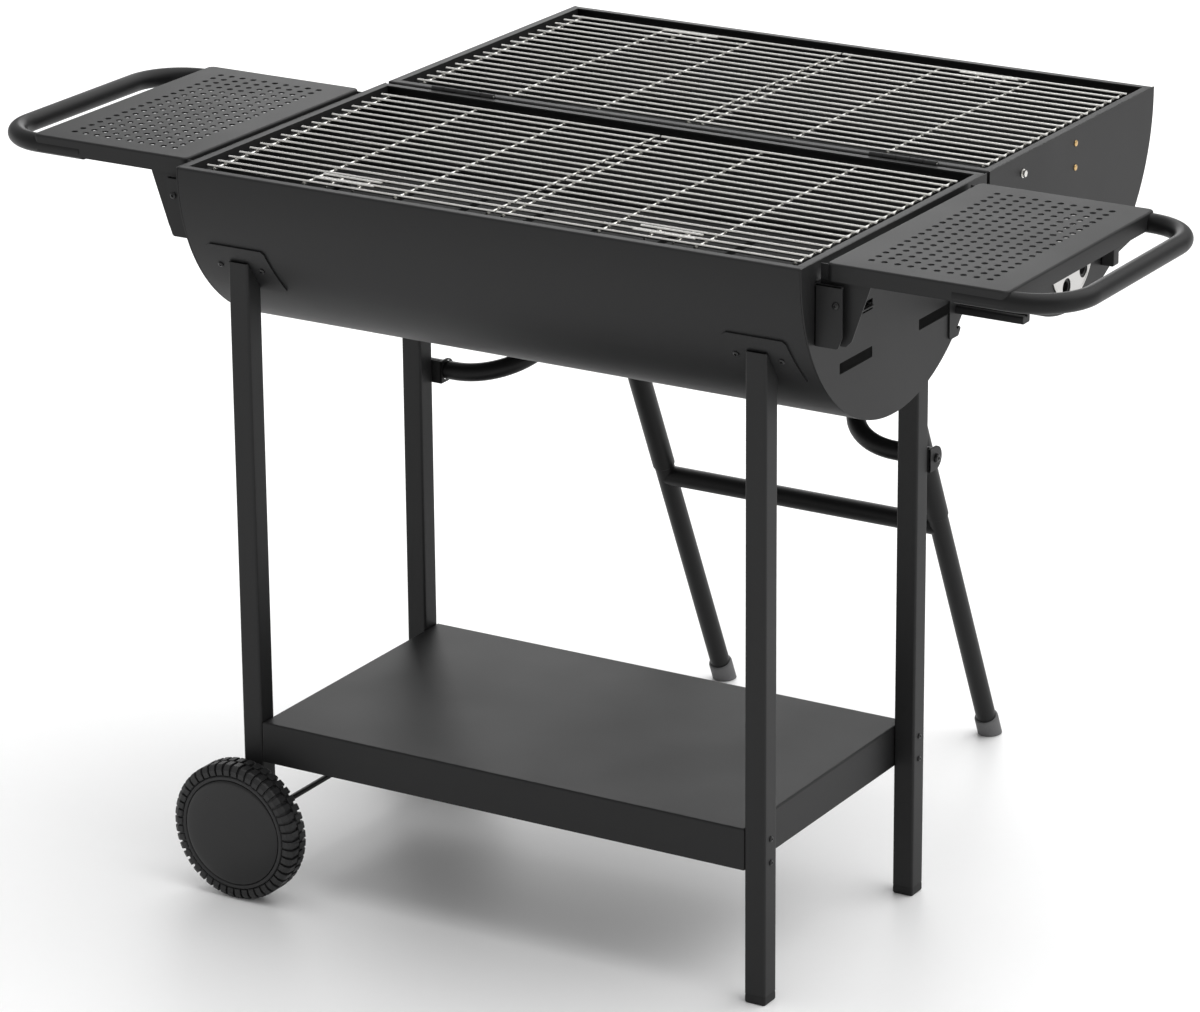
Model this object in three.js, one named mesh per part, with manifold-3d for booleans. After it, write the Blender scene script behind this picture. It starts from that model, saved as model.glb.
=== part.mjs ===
// A two-sided barrel charcoal grill on a cart: the lid turns back through half a circle on two hinges and becomes
// a second cooking bowl. X runs along the barrel, +Y points to the back, +Z up, in millimetres.
import * as THREE from "three";
import { mergeVertices } from "three/addons/utils/BufferGeometryUtils.js";
import Module from "manifold-3d";

const wasm = await Module();
wasm.setup();

// ---------- driving dimensions ----------
const GAP = 0.3; // between pieces that touch
const SHEET = 2; // sheet steel
const TUBE_WALL = 1.5;

// Bowls: half cylinders with a short straight wall under the rim. Inside this script y = 0 is the barrel's back wall.
const BOWL_LENGTH = 915;
const HALF = BOWL_LENGTH / 2;
const BOWL_DEPTH = 488;
const BOWL_STRAIGHT = 7;
const RIM_HEIGHT = 991;
const RIM_FLANGE = 12;
const LEDGE_DROP = 12; // the grates rest on a ledge this far under the rim
const LEDGE_WIDTH = 10;
const HINGE_GAP = 8; // between barrel and lid when the lid is open

// Hinges
const HINGE_LENGTH = 98;
const HINGE_CENTRE = HALF - 122.5; // from the middle of the barrel
const LEAF = 1.5;
const LEAF_HEIGHT = 30;
const KNUCKLE_RADIUS = 3.6;
const PIN_RADIUS = 1.6;
const HINGE_RISE = 1; // pin above the rim
const KNUCKLES = 5;

// Vent slots in the barrel's end plates
const SLOT_LENGTH = 84;
const SLOT_HEIGHT = 14;
const SLOT_OFFSET = 104; // slot centre from the middle of the end plate
const SLOT_LEVELS = [146, 84]; // slot centres under the arc's centre height

// Grates and charcoal trays
const WIRE = 4;
const GRATE_WIRES = 18;
const GRATE_PITCH = 23.9;
const GRATE_DROP = 2.5; // top of the wires under the rim
const GRATE_SIDE_PLAY = 21; // from the bowl's end to the wires' ends
const PANEL_PLAY = 2; // between the two panels of a bowl
const CROSS_WIRE_INSET = 8;
const CROSS_WIRES = 2;
const TRAY_WIDTH = 300;
const TRAY_LIP = 18;
const TRAY_PLAY = 4;
const TRAY_SLOTS = 9;
const TRAY_SLOT_WIDTH = 8;
const TRAY_TAB_PLAY = 7;
const TRAY_TAB_OUT = 6; // how far a tab reaches out past the end plate
const LID_TRAY_DEPTH = 104; // under the arc's centre height
const LID_STRAP = 40;

// Legs and shelf
const LEG = 30;
const LEG_SPREAD = HALF - 60.5; // outer faces from the middle
const LEG_FRONT = 22.5 - BOWL_DEPTH; // front face of the front legs
const LEG_BACK = -35.5; // back face of the rear legs
const LEG_TOP = RIM_HEIGHT - 123;
const LEG_CAP = 12;
const LEG_CAP_PLUG = 18;
const MOUNT_TOP = RIM_HEIGHT - 101;
const MOUNT_BOTTOM = RIM_HEIGHT - 163;
const MOUNT_HALF_TOP = 43.5;
const MOUNT_HALF_BOTTOM = 57;
const SHELF_TOP = 237;
const SHELF_DEPTH = 56;

// Wheels
const WHEEL_RADIUS = 95;
const WHEEL_WIDTH = 40;
const WHEEL_GAP = 15; // between a leg and its wheel
const LEG_BELOW_AXLE = 25;
const AXLE_RADIUS = 4;
const AXLE_CLEARANCE = 0.4;
const CAP_RADIUS = 73;
const CAP_THICK = 3;
const CAP_DOME = 4;
const RIM_WALL = 4;
const HUB_RADIUS = 16;

// Side tables
const TABLE_INNER = HALF + 12.2;
const TABLE_OUTER = HALF + 257.5;
const TABLE_FRONT = 35.7 - BOWL_DEPTH;
const TABLE_BACK = -40.2;
const TABLE_TOP = RIM_HEIGHT + 0.4;
const TABLE_FLANGE = 22.5;
const HANDLE_RADIUS = 12.7;
const HANDLE_REACH = HALF + 327.5; // tube's centre line
const HANDLE_BEND = 72;
const HANDLE_ROOT = HALF + 182.5; // where the tube starts under the table
const GUSSET_TOP = HALF + 71.5;
const GUSSET_BOTTOM = HALF + 45.5;
const GUSSET_FOOT = RIM_HEIGHT - 104;
const BRACKET_WIDTH = 38;
const BRACKET_TOP = RIM_HEIGHT - 26;
const BRACKET_DEPTH = 34;
const BRACKET_SCREW_RADIUS = 3;

// Side hook on the right-hand end plate
const HOOK_BACK = -67;
const HOOK_WIDTH = 35;
const HOOK_TOP = RIM_HEIGHT - 119;
const HOOK_BOTTOM = RIM_HEIGHT - 195;
const HOOK_ARM = 98;
const HOOK_ARM_HEIGHT = RIM_HEIGHT - 159;
const HOOK_ARM_SIZE = [20, 11];

// Rear support frame
const PIVOT_Y = -19;
const PIVOT_Z = RIM_HEIGHT - 387;
const EAR_RADIUS = 16;
const EAR_PLATE = 3;
const EAR_PLAY = 0.9; // round the arm that turns in the inner cheek
const EAR_INNER = LEG_SPREAD - 44; // inner cheek's inner face
const ARM_RADIUS = 12.7;
const ARM_X = 244;
const ARM_BEND = 97;
const ARM_RISE = 21.4; // degrees
const ARM_REACH = 240; // along its slope
const PROP_X = 219.5;
const PROP_LEAN = 24.4; // degrees from upright
const PROP_STAND = 237.01; // from the barrel's back wall to the props, level with the pivot
const PROP_TOP = RIM_HEIGHT - 285;
const SLEEVE_RADIUS = 16;
const SLEEVE_END = RIM_HEIGHT - 606;
const LOWER_RADIUS = 14.3;
const LOWER_INSERT = 60;
const CROSSBAR_HEIGHT = RIM_HEIGHT - 625;
const FOOT_RADIUS = 17.2;
const FOOT_HEIGHT = 30;
const BOLT_RADIUS = 3;
const BOLT_HEAD = 6;

// Lid fittings
const DAMPER_RADIUS = 62;
const DAMPER_DROP = 166; // centre under the arc's centre height
const DAMPER_SHEET = 1.5;
const DAMPER_HOLES = 5;
const DAMPER_HOLE_RADIUS = 12;
const DAMPER_HOLE_CIRCLE = 44;
const DAMPER_PORT_RADIUS = 8; // holes in the end plate behind them
const DAMPER_REST_TURN = 14; // degrees from straight up to the first hole
const STUD_RADIUS = 3;
const STUD_HEAD = 7;
const END_BOLT_Y = 102; // a spare hanging point on the lid's right end
const END_BOLT_DROP = 25;
const LID_HANDLE_ANGLE = 40; // below level, seen from the lid's middle
const LID_HANDLE_RADIUS = 9;
const LID_HANDLE_STAND = 28; // from the lid's skin to the middle of the bar
const LID_FOOT_Y = 88; // bracket's foot, from the lid's middle
const LID_FOOT_DROP = 204; // and under the arc's centre height
const LID_FOOT_SIZE = [16, 26];
const LID_FOOT_DEPTH = 20;
const LID_ARM_WIDTH = 20;

const ROUND = 12; // sides of a small round piece
const WHEEL_SIDES = 32;

// ---------- derived places ----------
const BOWL_RADIUS = BOWL_DEPTH / 2;
const ARC_Z = RIM_HEIGHT - BOWL_STRAIGHT;
const BARREL_Y = -BOWL_RADIUS;
const LID_Y = HINGE_GAP + BOWL_RADIUS;
const HINGE_Y = HINGE_GAP / 2;
const HINGE_Z = RIM_HEIGHT + HINGE_RISE;
const LEG_X = LEG_SPREAD - LEG / 2;
const END_INNER = HALF - SHEET;
const TABLE_Y = (TABLE_FRONT + TABLE_BACK) / 2;
const HANDLE_Z = TABLE_TOP - SHEET - GAP - HANDLE_RADIUS;
const WHEEL_FRONT_Y = LEG_FRONT - WHEEL_GAP - WHEEL_WIDTH / 2;
const WHEEL_BACK_Y = LEG_BACK + WHEEL_GAP + WHEEL_WIDTH / 2;
const PROP_FOOT_Y = PROP_STAND + PIVOT_Z * Math.tan(THREE.MathUtils.degToRad(PROP_LEAN));
const FOOT_BACK = PROP_FOOT_Y + FOOT_RADIUS / Math.cos(THREE.MathUtils.degToRad(PROP_LEAN));
const FRONT_MOST = WHEEL_FRONT_Y - WHEEL_WIDTH / 2 - CAP_DOME;
const ORIGIN_Y = (FRONT_MOST + FOOT_BACK) / 2; // the group is moved so that this lies at y = 0

// ---------- solids ----------
function solid(geometry) {
  const bare = geometry.index ? geometry.clone() : geometry;
  bare.deleteAttribute("normal");
  bare.deleteAttribute("uv");
  const merged = mergeVertices(bare, 1e-4);
  const mesh = new wasm.Mesh({
    numProp: 3,
    vertProperties: merged.attributes.position.array,
    triVerts: new Uint32Array(merged.index.array),
  });
  return new wasm.Manifold(mesh);
}

const join = (...parts) => parts.reduce((sum, part) => sum.add(part));
const cut = (body, ...tools) => tools.reduce((rest, tool) => rest.subtract(tool), body);

function block([x0, x1], [y0, y1], [z0, z1]) {
  const geometry = new THREE.BoxGeometry(x1 - x0, y1 - y0, z1 - z0);
  return solid(geometry.translate((x0 + x1) / 2, (y0 + y1) / 2, (z0 + z1) / 2));
}

// A round rod between two points.
function rod(radius, from, to, sides = ROUND) {
  const a = new THREE.Vector3(...from);
  const b = new THREE.Vector3(...to);
  const geometry = new THREE.CylinderGeometry(radius, radius, a.distanceTo(b), sides);
  const turn = new THREE.Quaternion().setFromUnitVectors(
    new THREE.Vector3(0, 1, 0),
    b.clone().sub(a).normalize(),
  );
  const middle = a.add(b).multiplyScalar(0.5);
  return solid(geometry.applyQuaternion(turn).translate(middle.x, middle.y, middle.z));
}

function extruded(shape, depth, basis, at, curveSegments = 24) {
  const geometry = new THREE.ExtrudeGeometry(shape, { depth, bevelEnabled: false, curveSegments });
  const place = new THREE.Matrix4().makeBasis(...basis).setPosition(...at);
  return solid(geometry.applyMatrix4(place));
}

const X = new THREE.Vector3(1, 0, 0);
const Y = new THREE.Vector3(0, 1, 0);
const Z = new THREE.Vector3(0, 0, 1);
// Outlines are drawn in (y, z), (x, z) and (x, y).
const alongX = (shape, [x0, x1], segments) => extruded(shape, x1 - x0, [Y, Z, X], [x0, 0, 0], segments);
const alongY = (shape, [y0, y1]) => extruded(shape, y1 - y0, [X, Z, Y.clone().negate()], [0, y1, 0]);

const polygon = (points) => new THREE.Shape(points.map(([a, b]) => new THREE.Vector2(a, b)));

// A path through chosen stations, each cross-section square to the mean of its neighbours' directions.
class StationPath extends THREE.Curve {
  constructor(stations) {
    super();
    this.stations = stations;
  }
  station(u) {
    return Math.round(u * (this.stations.length - 1));
  }
  getPointAt(u) {
    return this.stations[this.station(u)].clone();
  }
  getTangentAt(u) {
    const i = this.station(u);
    const last = this.stations.length - 1;
    const before = this.stations[Math.max(i - 1, 0)];
    const here = this.stations[i];
    const after = this.stations[Math.min(i + 1, last)];
    const arriving = here.clone().sub(before).normalize();
    return after.clone().sub(here).normalize().add(arriving).normalize();
  }
}

// Stations along straight runs with round corners of one radius.
function roundedPath(corners, bend, perCorner = 6) {
  const points = corners.map((c) => new THREE.Vector3(...c));
  const stations = [points[0]];
  for (let i = 1; i < points.length - 1; i++) {
    const inward = points[i - 1].clone().sub(points[i]).normalize();
    const onward = points[i + 1].clone().sub(points[i]).normalize();
    const half = inward.angleTo(onward) / 2;
    const middle = inward.clone().add(onward).normalize().multiplyScalar(bend / Math.sin(half));
    const centre = points[i].clone().add(middle);
    const start = points[i].clone().addScaledVector(inward, bend / Math.tan(half)).sub(centre);
    const end = points[i].clone().addScaledVector(onward, bend / Math.tan(half)).sub(centre);
    const sweep = start.angleTo(end);
    const axis = start.clone().cross(end).normalize();
    for (let k = 0; k <= perCorner; k++)
      stations.push(start.clone().applyAxisAngle(axis, (sweep * k) / perCorner).add(centre));
  }
  stations.push(points[points.length - 1]);
  return new StationPath(stations);
}

function swept(path, radius, sides = 12) {
  const ring = [];
  for (let k = 0; k < sides; k++) {
    const angle = (2 * Math.PI * k) / sides;
    ring.push([radius * Math.cos(angle), radius * Math.sin(angle)]);
  }
  const steps = path.stations.length - 1;
  return solid(new THREE.ExtrudeGeometry(polygon(ring), { steps, extrudePath: path, bevelEnabled: false }));
}

// A bent tube with open ends. The bore runs a little past both ends, so that it cuts them open.
function bentTube(corners, bend, radius, wall = TUBE_WALL) {
  const past = (end, next) => {
    const tip = new THREE.Vector3(...end);
    return tip.add(tip.clone().sub(new THREE.Vector3(...next)).normalize()).toArray();
  };
  const last = corners.length - 1;
  const longer = [past(corners[0], corners[1]), ...corners.slice(1, last), past(corners[last], corners[last - 1])];
  return cut(swept(roundedPath(corners, bend), radius), swept(roundedPath(longer, bend), radius - wall));
}

// Profiles in (radius, distance) turned about an axis along +Y, placed at a centre.
function turnedAboutY(profile, centre, sides) {
  const points = profile.map(([r, d]) => new THREE.Vector2(r, d));
  return solid(new THREE.LatheGeometry(points, sides).translate(...centre));
}

const root = new THREE.Group();
root.position.y = -ORIGIN_Y;

const finishes = {
  coat: { color: 0x2c2c2d, roughness: 0.62, metalness: 0.1 },
  tube: { color: 0x252526, roughness: 0.45, metalness: 0.15 },
  wire: { color: 0xd6d3cc, roughness: 0.25, metalness: 0.9 },
  steel: { color: 0xb9b6ae, roughness: 0.35, metalness: 0.9 },
  plastic: { color: 0x232324, roughness: 0.5, metalness: 0 },
  rubber: { color: 0x3a3a3b, roughness: 0.8, metalness: 0 },
};

function add(name, body, finish) {
  const { vertProperties, triVerts } = body.getMesh();
  const geometry = new THREE.BufferGeometry();
  geometry.setAttribute("position", new THREE.BufferAttribute(vertProperties, 3));
  geometry.setIndex(new THREE.BufferAttribute(triVerts, 1));
  geometry.computeVertexNormals();
  const mesh = new THREE.Mesh(geometry, new THREE.MeshStandardMaterial(finishes[finish]));
  mesh.name = name;
  root.add(mesh);
}

const SIDES = [
  ["left", -1],
  ["right", 1],
];
// An interval mirrored to the left for side = -1.
const span = (side, a, b) => (side > 0 ? [a, b] : [-b, -a]);

// ---------- bowls ----------
// A bowl's cross-section from its rim down, inset from the outside.
function bowlOutline(centreY, inset = 0, top = RIM_HEIGHT) {
  const radius = BOWL_RADIUS - inset;
  const shape = new THREE.Shape();
  shape.moveTo(centreY - radius, top);
  shape.lineTo(centreY - radius, ARC_Z);
  shape.absarc(centreY, ARC_Z, radius, Math.PI, 2 * Math.PI, false);
  shape.lineTo(centreY + radius, top);
  return shape;
}

function bowlShell(centreY) {
  const wide = [-END_INNER + GAP, END_INNER - GAP];
  const outer = alongX(bowlOutline(centreY), wide);
  const inner = alongX(bowlOutline(centreY, SHEET, RIM_HEIGHT - SHEET), [wide[0] - 1, wide[1] + 1]);
  const mouth = block(
    [-HALF, HALF],
    [centreY - BOWL_RADIUS + RIM_FLANGE, centreY + BOWL_RADIUS - RIM_FLANGE],
    [RIM_HEIGHT - 2 * SHEET, RIM_HEIGHT + 1],
  );
  return cut(outer, inner, mouth);
}

// An end plate with a rim flange that steps down to the grates' ledge.
function bowlEnd(centreY, side) {
  const plate = alongX(bowlOutline(centreY), span(side, END_INNER, HALF));
  const reach = BOWL_RADIUS - RIM_FLANGE - GAP;
  const across = [centreY - reach, centreY + reach];
  const flangeEdge = HALF - RIM_FLANGE;
  const ledge = RIM_HEIGHT - LEDGE_DROP;
  const flange = block(span(side, flangeEdge, HALF - 1), across, [RIM_HEIGHT - SHEET, RIM_HEIGHT]);
  const drop = block(span(side, flangeEdge, flangeEdge + SHEET), across, [ledge - SHEET, RIM_HEIGHT]);
  const shelf = block(span(side, flangeEdge - LEDGE_WIDTH, flangeEdge + SHEET), across, [ledge - SHEET, ledge]);
  return join(plate, flange, drop, shelf);
}

add("barrel_shell", bowlShell(BARREL_Y), "coat");
add("lid_shell", bowlShell(LID_Y), "coat");

const slotZ = (level) => ARC_Z - SLOT_LEVELS[level];
for (const [word, side] of SIDES) {
  const slots = [];
  for (const level of [0, 1])
    for (const way of [-1, 1]) {
      const y = BARREL_Y + way * SLOT_OFFSET;
      const tall = [slotZ(level) - SLOT_HEIGHT / 2, slotZ(level) + SLOT_HEIGHT / 2];
      slots.push(block(span(side, END_INNER - 1, HALF + 1), [y - SLOT_LENGTH / 2, y + SLOT_LENGTH / 2], tall));
    }
  add("barrel_end_" + word, cut(bowlEnd(BARREL_Y, side), ...slots), "coat");
}

// ---------- rotary dampers on the lid's ends ----------
const DAMPER_Z = ARC_Z - DAMPER_DROP;
const END_BOLT_Z = RIM_HEIGHT - END_BOLT_DROP;

function damperHoles(side, radius, [x0, x1]) {
  const turn = THREE.MathUtils.degToRad(DAMPER_REST_TURN);
  const holes = [];
  for (let k = 0; k < DAMPER_HOLES; k++) {
    const angle = (2 * Math.PI * k) / DAMPER_HOLES + Math.PI / 2 + turn;
    const y = LID_Y + DAMPER_HOLE_CIRCLE * Math.cos(angle);
    const z = DAMPER_Z + DAMPER_HOLE_CIRCLE * Math.sin(angle);
    holes.push(rod(radius, [side * x0, y, z], [side * x1, y, z], 10));
  }
  return holes;
}

for (const [word, side] of SIDES) {
  const studHole = rod(STUD_RADIUS + GAP, [side * (HALF - 9), LID_Y, DAMPER_Z], [side * (HALF + 9), LID_Y, DAMPER_Z]);
  const plateHoles = damperHoles(side, DAMPER_PORT_RADIUS, [END_INNER - 1, HALF + 1]);
  const boltHole = rod(BOLT_RADIUS + GAP, [HALF - 9, END_BOLT_Y, END_BOLT_Z], [HALF + 9, END_BOLT_Y, END_BOLT_Z]);
  const plate = cut(bowlEnd(LID_Y, side), ...plateHoles, studHole);
  add("lid_end_" + word, side > 0 ? cut(plate, boltHole) : plate, "coat");

  const inner = HALF + GAP;
  const outer = inner + DAMPER_SHEET;
  const disc = rod(DAMPER_RADIUS, [side * inner, LID_Y, DAMPER_Z], [side * outer, LID_Y, DAMPER_Z], 30);
  const discHoles = damperHoles(side, DAMPER_HOLE_RADIUS, [inner - 1, outer + 1]);
  // a finger tab bent out of the rim
  const tab = block(
    span(side, inner, outer + 7),
    [LID_Y - 9, LID_Y + 9],
    [DAMPER_Z - DAMPER_RADIUS - 1, DAMPER_Z - DAMPER_RADIUS + 1.5],
  );
  add("damper_" + word, cut(join(disc, tab), ...discHoles, studHole), "steel");

  const shank = rod(STUD_RADIUS, [side * (END_INNER - 3), LID_Y, DAMPER_Z], [side * (outer + 3), LID_Y, DAMPER_Z]);
  const head = rod(STUD_HEAD, [side * (outer + GAP), LID_Y, DAMPER_Z], [side * (outer + 3), LID_Y, DAMPER_Z]);
  const tail = rod(STUD_HEAD, [side * (END_INNER - 3), LID_Y, DAMPER_Z], [side * (END_INNER - GAP), LID_Y, DAMPER_Z]);
  add("damper_stud_" + word, join(shank, head, tail), "steel");
}

const endBolt = (radius, x0, x1) => rod(radius, [x0, END_BOLT_Y, END_BOLT_Z], [x1, END_BOLT_Y, END_BOLT_Z]);
add(
  "lid_end_bolt",
  join(
    endBolt(BOLT_RADIUS, END_INNER - 5, HALF + 4),
    endBolt(BOLT_HEAD, HALF + GAP, HALF + 5),
    endBolt(BOLT_HEAD, END_INNER - 5, END_INNER - GAP),
  ),
  "steel",
);

// ---------- hinges ----------
// Leaves hang against the two back walls, with their knuckles on the shared pin in turn.
function hingeLeaf(centreX, wallY, first) {
  const step = HINGE_LENGTH / KNUCKLES;
  const start = centreX - HINGE_LENGTH / 2;
  const toPin = Math.sign(HINGE_Y - wallY);
  const face = wallY + toPin * GAP;
  const thick = [Math.min(face, face + toPin * LEAF), Math.max(face, face + toPin * LEAF)];
  const plateTop = HINGE_Z - KNUCKLE_RADIUS - GAP;
  let leaf = block([start, start + HINGE_LENGTH], thick, [RIM_HEIGHT - LEAF_HEIGHT, plateTop]);
  for (let k = first; k < KNUCKLES; k += 2) {
    const wide = [start + k * step + GAP, start + (k + 1) * step - GAP];
    const neck = block(wide, thick, [plateTop - 1, HINGE_Z]);
    leaf = join(leaf, neck, rod(KNUCKLE_RADIUS, [wide[0], HINGE_Y, HINGE_Z], [wide[1], HINGE_Y, HINGE_Z], 10));
  }
  const bore = rod(PIN_RADIUS + GAP, [start - 1, HINGE_Y, HINGE_Z], [start + HINGE_LENGTH + 1, HINGE_Y, HINGE_Z], 8);
  return cut(leaf, bore);
}

for (const [word, side] of SIDES) {
  const x = side * HINGE_CENTRE;
  const half = HINGE_LENGTH / 2;
  add("hinge_barrel_leaf_" + word, hingeLeaf(x, 0, 0), "coat");
  add("hinge_lid_leaf_" + word, hingeLeaf(x, HINGE_GAP, 1), "coat");
  add("hinge_pin_" + word, rod(PIN_RADIUS, [x - half, HINGE_Y, HINGE_Z], [x + half, HINGE_Y, HINGE_Z]), "steel");
}

// ---------- cooking grates ----------
const GRATE_TOP = RIM_HEIGHT - GRATE_DROP;
const WELD = 0.5;

function grate(centreY, side) {
  const wide = span(side, PANEL_PLAY / 2, HALF - GRATE_SIDE_PLAY);
  const firstY = centreY - ((GRATE_WIRES - 1) * GRATE_PITCH) / 2;
  const lastY = firstY + (GRATE_WIRES - 1) * GRATE_PITCH;
  const underTop = GRATE_TOP - WIRE + WELD;
  const wires = [];
  for (let k = 0; k < GRATE_WIRES; k++) {
    const y = firstY + k * GRATE_PITCH;
    wires.push(block(wide, [y - WIRE / 2, y + WIRE / 2], [GRATE_TOP - WIRE, GRATE_TOP]));
  }
  for (let k = 0; k < CROSS_WIRES; k++) {
    const run = wide[1] - wide[0] - 2 * CROSS_WIRE_INSET;
    const x = wide[0] + CROSS_WIRE_INSET + (run * k) / (CROSS_WIRES - 1);
    const across = [firstY - WIRE, lastY + WIRE];
    wires.push(block([x - WIRE / 2, x + WIRE / 2], across, [underTop - WIRE, underTop]));
  }
  return join(...wires);
}

for (const [word, side] of SIDES) {
  add("barrel_grate_" + word, grate(BARREL_Y, side), "wire");
  add("lid_grate_" + word, grate(LID_Y, side), "wire");
}

// ---------- charcoal trays ----------
function trayPan(centreY, floor) {
  const endX = END_INNER - TRAY_PLAY;
  const across = [centreY - TRAY_WIDTH / 2, centreY + TRAY_WIDTH / 2];
  const pan = block([-endX, endX], across, [floor, floor + TRAY_LIP]);
  const hollow = block(
    [-endX + SHEET, endX - SHEET],
    [across[0] + SHEET, across[1] - SHEET],
    [floor + SHEET, floor + TRAY_LIP + 1],
  );
  const slots = [];
  for (let k = 0; k < TRAY_SLOTS; k++) {
    const x = ((k + 0.5) / TRAY_SLOTS - 0.5) * 2 * endX;
    const wide = [x - TRAY_SLOT_WIDTH / 2, x + TRAY_SLOT_WIDTH / 2];
    slots.push(block(wide, [centreY - TRAY_WIDTH / 3, centreY + TRAY_WIDTH / 3], [floor - 1, floor + SHEET + 1]));
  }
  return cut(pan, hollow, ...slots);
}

const BARREL_TRAY_Z = slotZ(1) - SHEET / 2;
const tabs = [];
for (const [, side] of SIDES)
  for (const way of [-1, 1]) {
    const y = BARREL_Y + way * SLOT_OFFSET;
    const half = Math.min(SLOT_LENGTH / 2 - TRAY_TAB_PLAY, TRAY_WIDTH / 2 - SLOT_OFFSET);
    const wide = span(side, END_INNER - TRAY_PLAY - 1, HALF + TRAY_TAB_OUT);
    tabs.push(block(wide, [y - half, y + half], [BARREL_TRAY_Z, BARREL_TRAY_Z + SHEET]));
  }
add("barrel_charcoal_tray", join(trayPan(BARREL_Y, BARREL_TRAY_Z), ...tabs), "coat");

// The lid's tray hangs by a strap at each end, from rivets through the end plate.
const LID_TRAY_Z = ARC_Z - LID_TRAY_DEPTH;
const straps = SIDES.map(([, side]) => {
  const outer = END_INNER - GAP;
  const across = [LID_Y - LID_STRAP / 2, LID_Y + LID_STRAP / 2];
  const top = RIM_HEIGHT - LEDGE_DROP - SHEET - GAP;
  const upright = block(span(side, outer - SHEET, outer), across, [LID_TRAY_Z, top]);
  const foot = block(span(side, END_INNER - TRAY_PLAY - 1, outer), across, [LID_TRAY_Z, LID_TRAY_Z + SHEET]);
  return join(upright, foot);
});
add("lid_charcoal_tray", join(trayPan(LID_Y, LID_TRAY_Z), ...straps), "coat");

// ---------- legs ----------
const corners = [
  ["front_left", -1, LEG_FRONT, LEG_FRONT + LEG],
  ["front_right", 1, LEG_FRONT, LEG_FRONT + LEG],
  ["rear_left", -1, LEG_BACK - LEG, LEG_BACK],
  ["rear_right", 1, LEG_BACK - LEG, LEG_BACK],
];
const LEFT_LEG_BOTTOM = WHEEL_RADIUS - LEG_BELOW_AXLE;
const MOUNT_OUTER = SHEET + 2 * GAP;
const clearOfBarrel = alongX(bowlOutline(BARREL_Y, -MOUNT_OUTER, RIM_HEIGHT + 1), [-HALF, HALF]);
const axleHole = (y0, y1) =>
  rod(AXLE_RADIUS + AXLE_CLEARANCE, [-LEG_X, y0 - 1, WHEEL_RADIUS], [-LEG_X, y1 + 1, WHEEL_RADIUS]);

for (const [word, side, y0, y1] of corners) {
  const x = side * LEG_X;
  const bottom = side > 0 ? LEG_CAP : LEFT_LEG_BOTTOM;
  const bore = LEG / 2 - TUBE_WALL;
  const tube = block([x - LEG / 2, x + LEG / 2], [y0, y1], [bottom + (side > 0 ? GAP : 0), LEG_TOP]);
  const hollow = block([x - bore, x + bore], [y0 + TUBE_WALL, y1 - TUBE_WALL], [bottom - 1, LEG_TOP + 1]);
  const leg = cut(tube, hollow, clearOfBarrel);
  add("leg_" + word, side > 0 ? leg : cut(leg, axleHole(y0, y1)), "coat");

  if (side > 0) {
    const plug = bore - GAP;
    const middle = (y0 + y1) / 2;
    const sole = block([x - LEG / 2, x + LEG / 2], [y0, y1], [0, LEG_CAP]);
    const stem = block([x - plug, x + plug], [middle - plug, middle + plug], [LEG_CAP - 1, LEG_CAP + LEG_CAP_PLUG]);
    add("leg_cap_" + word, join(sole, stem), "plastic");
  }

  // A saddle plate between leg and barrel follows the barrel's curve and widens downwards.
  const saddle = polygon([
    [x - MOUNT_HALF_TOP, MOUNT_TOP],
    [x - MOUNT_HALF_BOTTOM, MOUNT_BOTTOM],
    [x + MOUNT_HALF_BOTTOM, MOUNT_BOTTOM],
    [x + MOUNT_HALF_TOP, MOUNT_TOP],
  ]);
  const halfWay = y1 < BARREL_Y ? [BARREL_Y - BOWL_DEPTH, BARREL_Y] : [BARREL_Y, BARREL_Y + BOWL_DEPTH];
  const wide = [x - MOUNT_HALF_BOTTOM - 1, x + MOUNT_HALF_BOTTOM + 1];
  const skin = cut(
    alongX(bowlOutline(BARREL_Y, -GAP - SHEET), wide),
    alongX(bowlOutline(BARREL_Y, -GAP, RIM_HEIGHT + 1), [wide[0] - 1, wide[1] + 1]),
  );
  add("leg_mount_" + word, alongY(saddle, halfWay).intersect(skin), "coat");
}

// ---------- shelf ----------
const shelfX = LEG_SPREAD - LEG - GAP;
const shelfOuter = block([-shelfX, shelfX], [LEG_FRONT, LEG_BACK], [SHELF_TOP - SHELF_DEPTH, SHELF_TOP]);
const shelfHollow = block(
  [-shelfX + SHEET, shelfX - SHEET],
  [LEG_FRONT + SHEET, LEG_BACK - SHEET],
  [SHELF_TOP - SHELF_DEPTH - 1, SHELF_TOP - SHEET],
);
add("shelf", cut(shelfOuter, shelfHollow), "coat");

// ---------- axle and wheels ----------
const WEB_FACE = WHEEL_WIDTH / 2 - CAP_THICK - 2 * GAP - RIM_WALL; // outer face of a wheel's web, from its middle
const axleReach = WEB_FACE - GAP;
const axleAt = (y) => [-LEG_X, y, WHEEL_RADIUS];
add("axle", rod(AXLE_RADIUS, axleAt(WHEEL_FRONT_Y - axleReach), axleAt(WHEEL_BACK_Y + axleReach)), "tube");

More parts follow.
